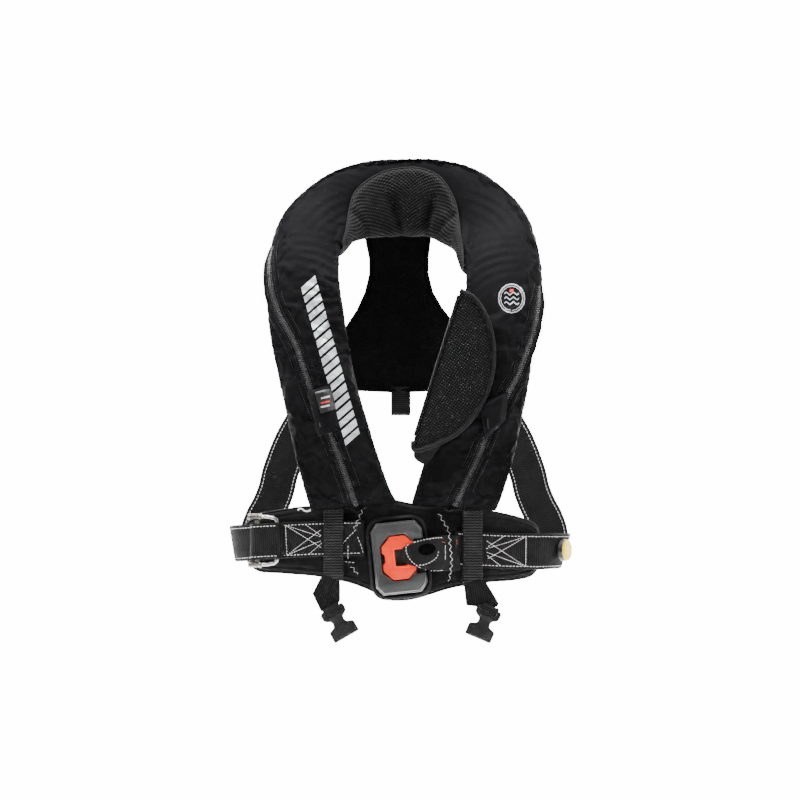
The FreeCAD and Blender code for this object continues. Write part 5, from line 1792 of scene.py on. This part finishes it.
def build_cord():
    """The free end of the small pull cord under the left lobe."""
    marks = ((-100, -97.5, -304), (-106, -100, -306.5), (-112, -103, -309), (-116, -106, -311.5),
             (-120, -108, -313.8), (-124, -108.5, -313.5), (-127.5, -107.5, -311),
             (-130.5, -106, -310.6), (-132.5, -104, -312.5))
    line = smooth_path(np.array(marks, float) * MM, step=1.0 * MM)
    cord = join_parts("pull_cord", [tube_part(line, 1.0 * MM, 10)])
    finish_piece(cord, "thread", "root")


MAT = {}


def make_materials():
    MAT.update(
        nylon=cover_nylon(), mesh=mesh_cloth(), fine_mesh=fine_mesh(), webbing=webbing_cloth(),
        loop=loop_cloth(),
        binding=binding_tape(), pad=pad_cloth(), thread=thread(), dark_thread=dark_thread(),
        reflective=reflective(), tape=tape_cloth(), steel=steel(),
        dull_steel=steel("dull_steel", (0.27, 0.255, 0.235)),
        teeth=plastic("zip_teeth_plastic", (0.012, 0.012, 0.0125), 0.28),
        grey=plastic("grey_plastic", (0.026, 0.0265, 0.027), 0.42, 1200, 0.0004),
        black=plastic("black_plastic", (0.005, 0.005, 0.005), 0.42, 1200, 0.0003, 1.5),
        socket=plastic("socket_plastic", (0.0070, 0.0070, 0.0075), 0.42, 1200, 0.0003, 1.3, 0.3),
        # dark: painted shade for the sockets' openings.
        dark=plastic("painted_shade_inside", (0.002, 0.002, 0.002), 0.8), rust=dyed_thread(),
        edge=edge_tape(),
        orange=plastic("orange_plastic", (0.90, 0.030, 0.001), 0.45, 700, 0.0002, 1.05, 0.2),
        yellow=plastic("yellow_plastic", (0.80, 0.58, 0.004), 0.42, 700, 0.0002, 1.1, 0.2),
        red=plastic("red_plastic", (0.62, 0.03, 0.02), 0.4, 700, 0.0002, 1.1),
        bladder=film(),
    )


def carried_over():
    """Better materials for the CAD pieces that stay, which are closed inside the cover."""
    inside = {
        "gas_cylinder": "steel", "inflator_body": "black", "firing_lever": "red", "lever_pin": "steel",
        "oral_tube": "black", "oral_cap": "red", "whistle": "red", "buckle_spring": "steel",
    }
    for node, key in inside.items():
        for held in bpy.data.objects[node].material_slots:
            held.material = MAT[key]


def main():
    add_camera()
    make_materials()
    add_lights()
    add_floor()
    skin = build_cover()
    covers = [f"cover_{face}_{part}" for face in ("front", "rear") for part in ("left", "right", "neck")]
    covers = [node for node in covers if node in CAD_NODES]
    finish_piece(skin, "nylon", "root", covers)
    tree = tree_of(skin)
    build_cord()
    for name, side in SIDES:
        build_zip(tree, name, side)
    build_neck_pad()
    build_bladder()
    build_flap()
    build_flap_web()
    build_back_panel()
    build_hanging_tab()
    build_back_straps()
    build_belt_pads()
    build_belt()
    build_tether()
    build_buckle()
    build_crotch_loops()
    build_tails()
    build_sockets()
    build_wraps()
    build_adjuster()
    build_side_button()
    build_print(tree)
    build_garages(tree)
    build_sliders()
    build_belt_marks()
    carried_over()


main()
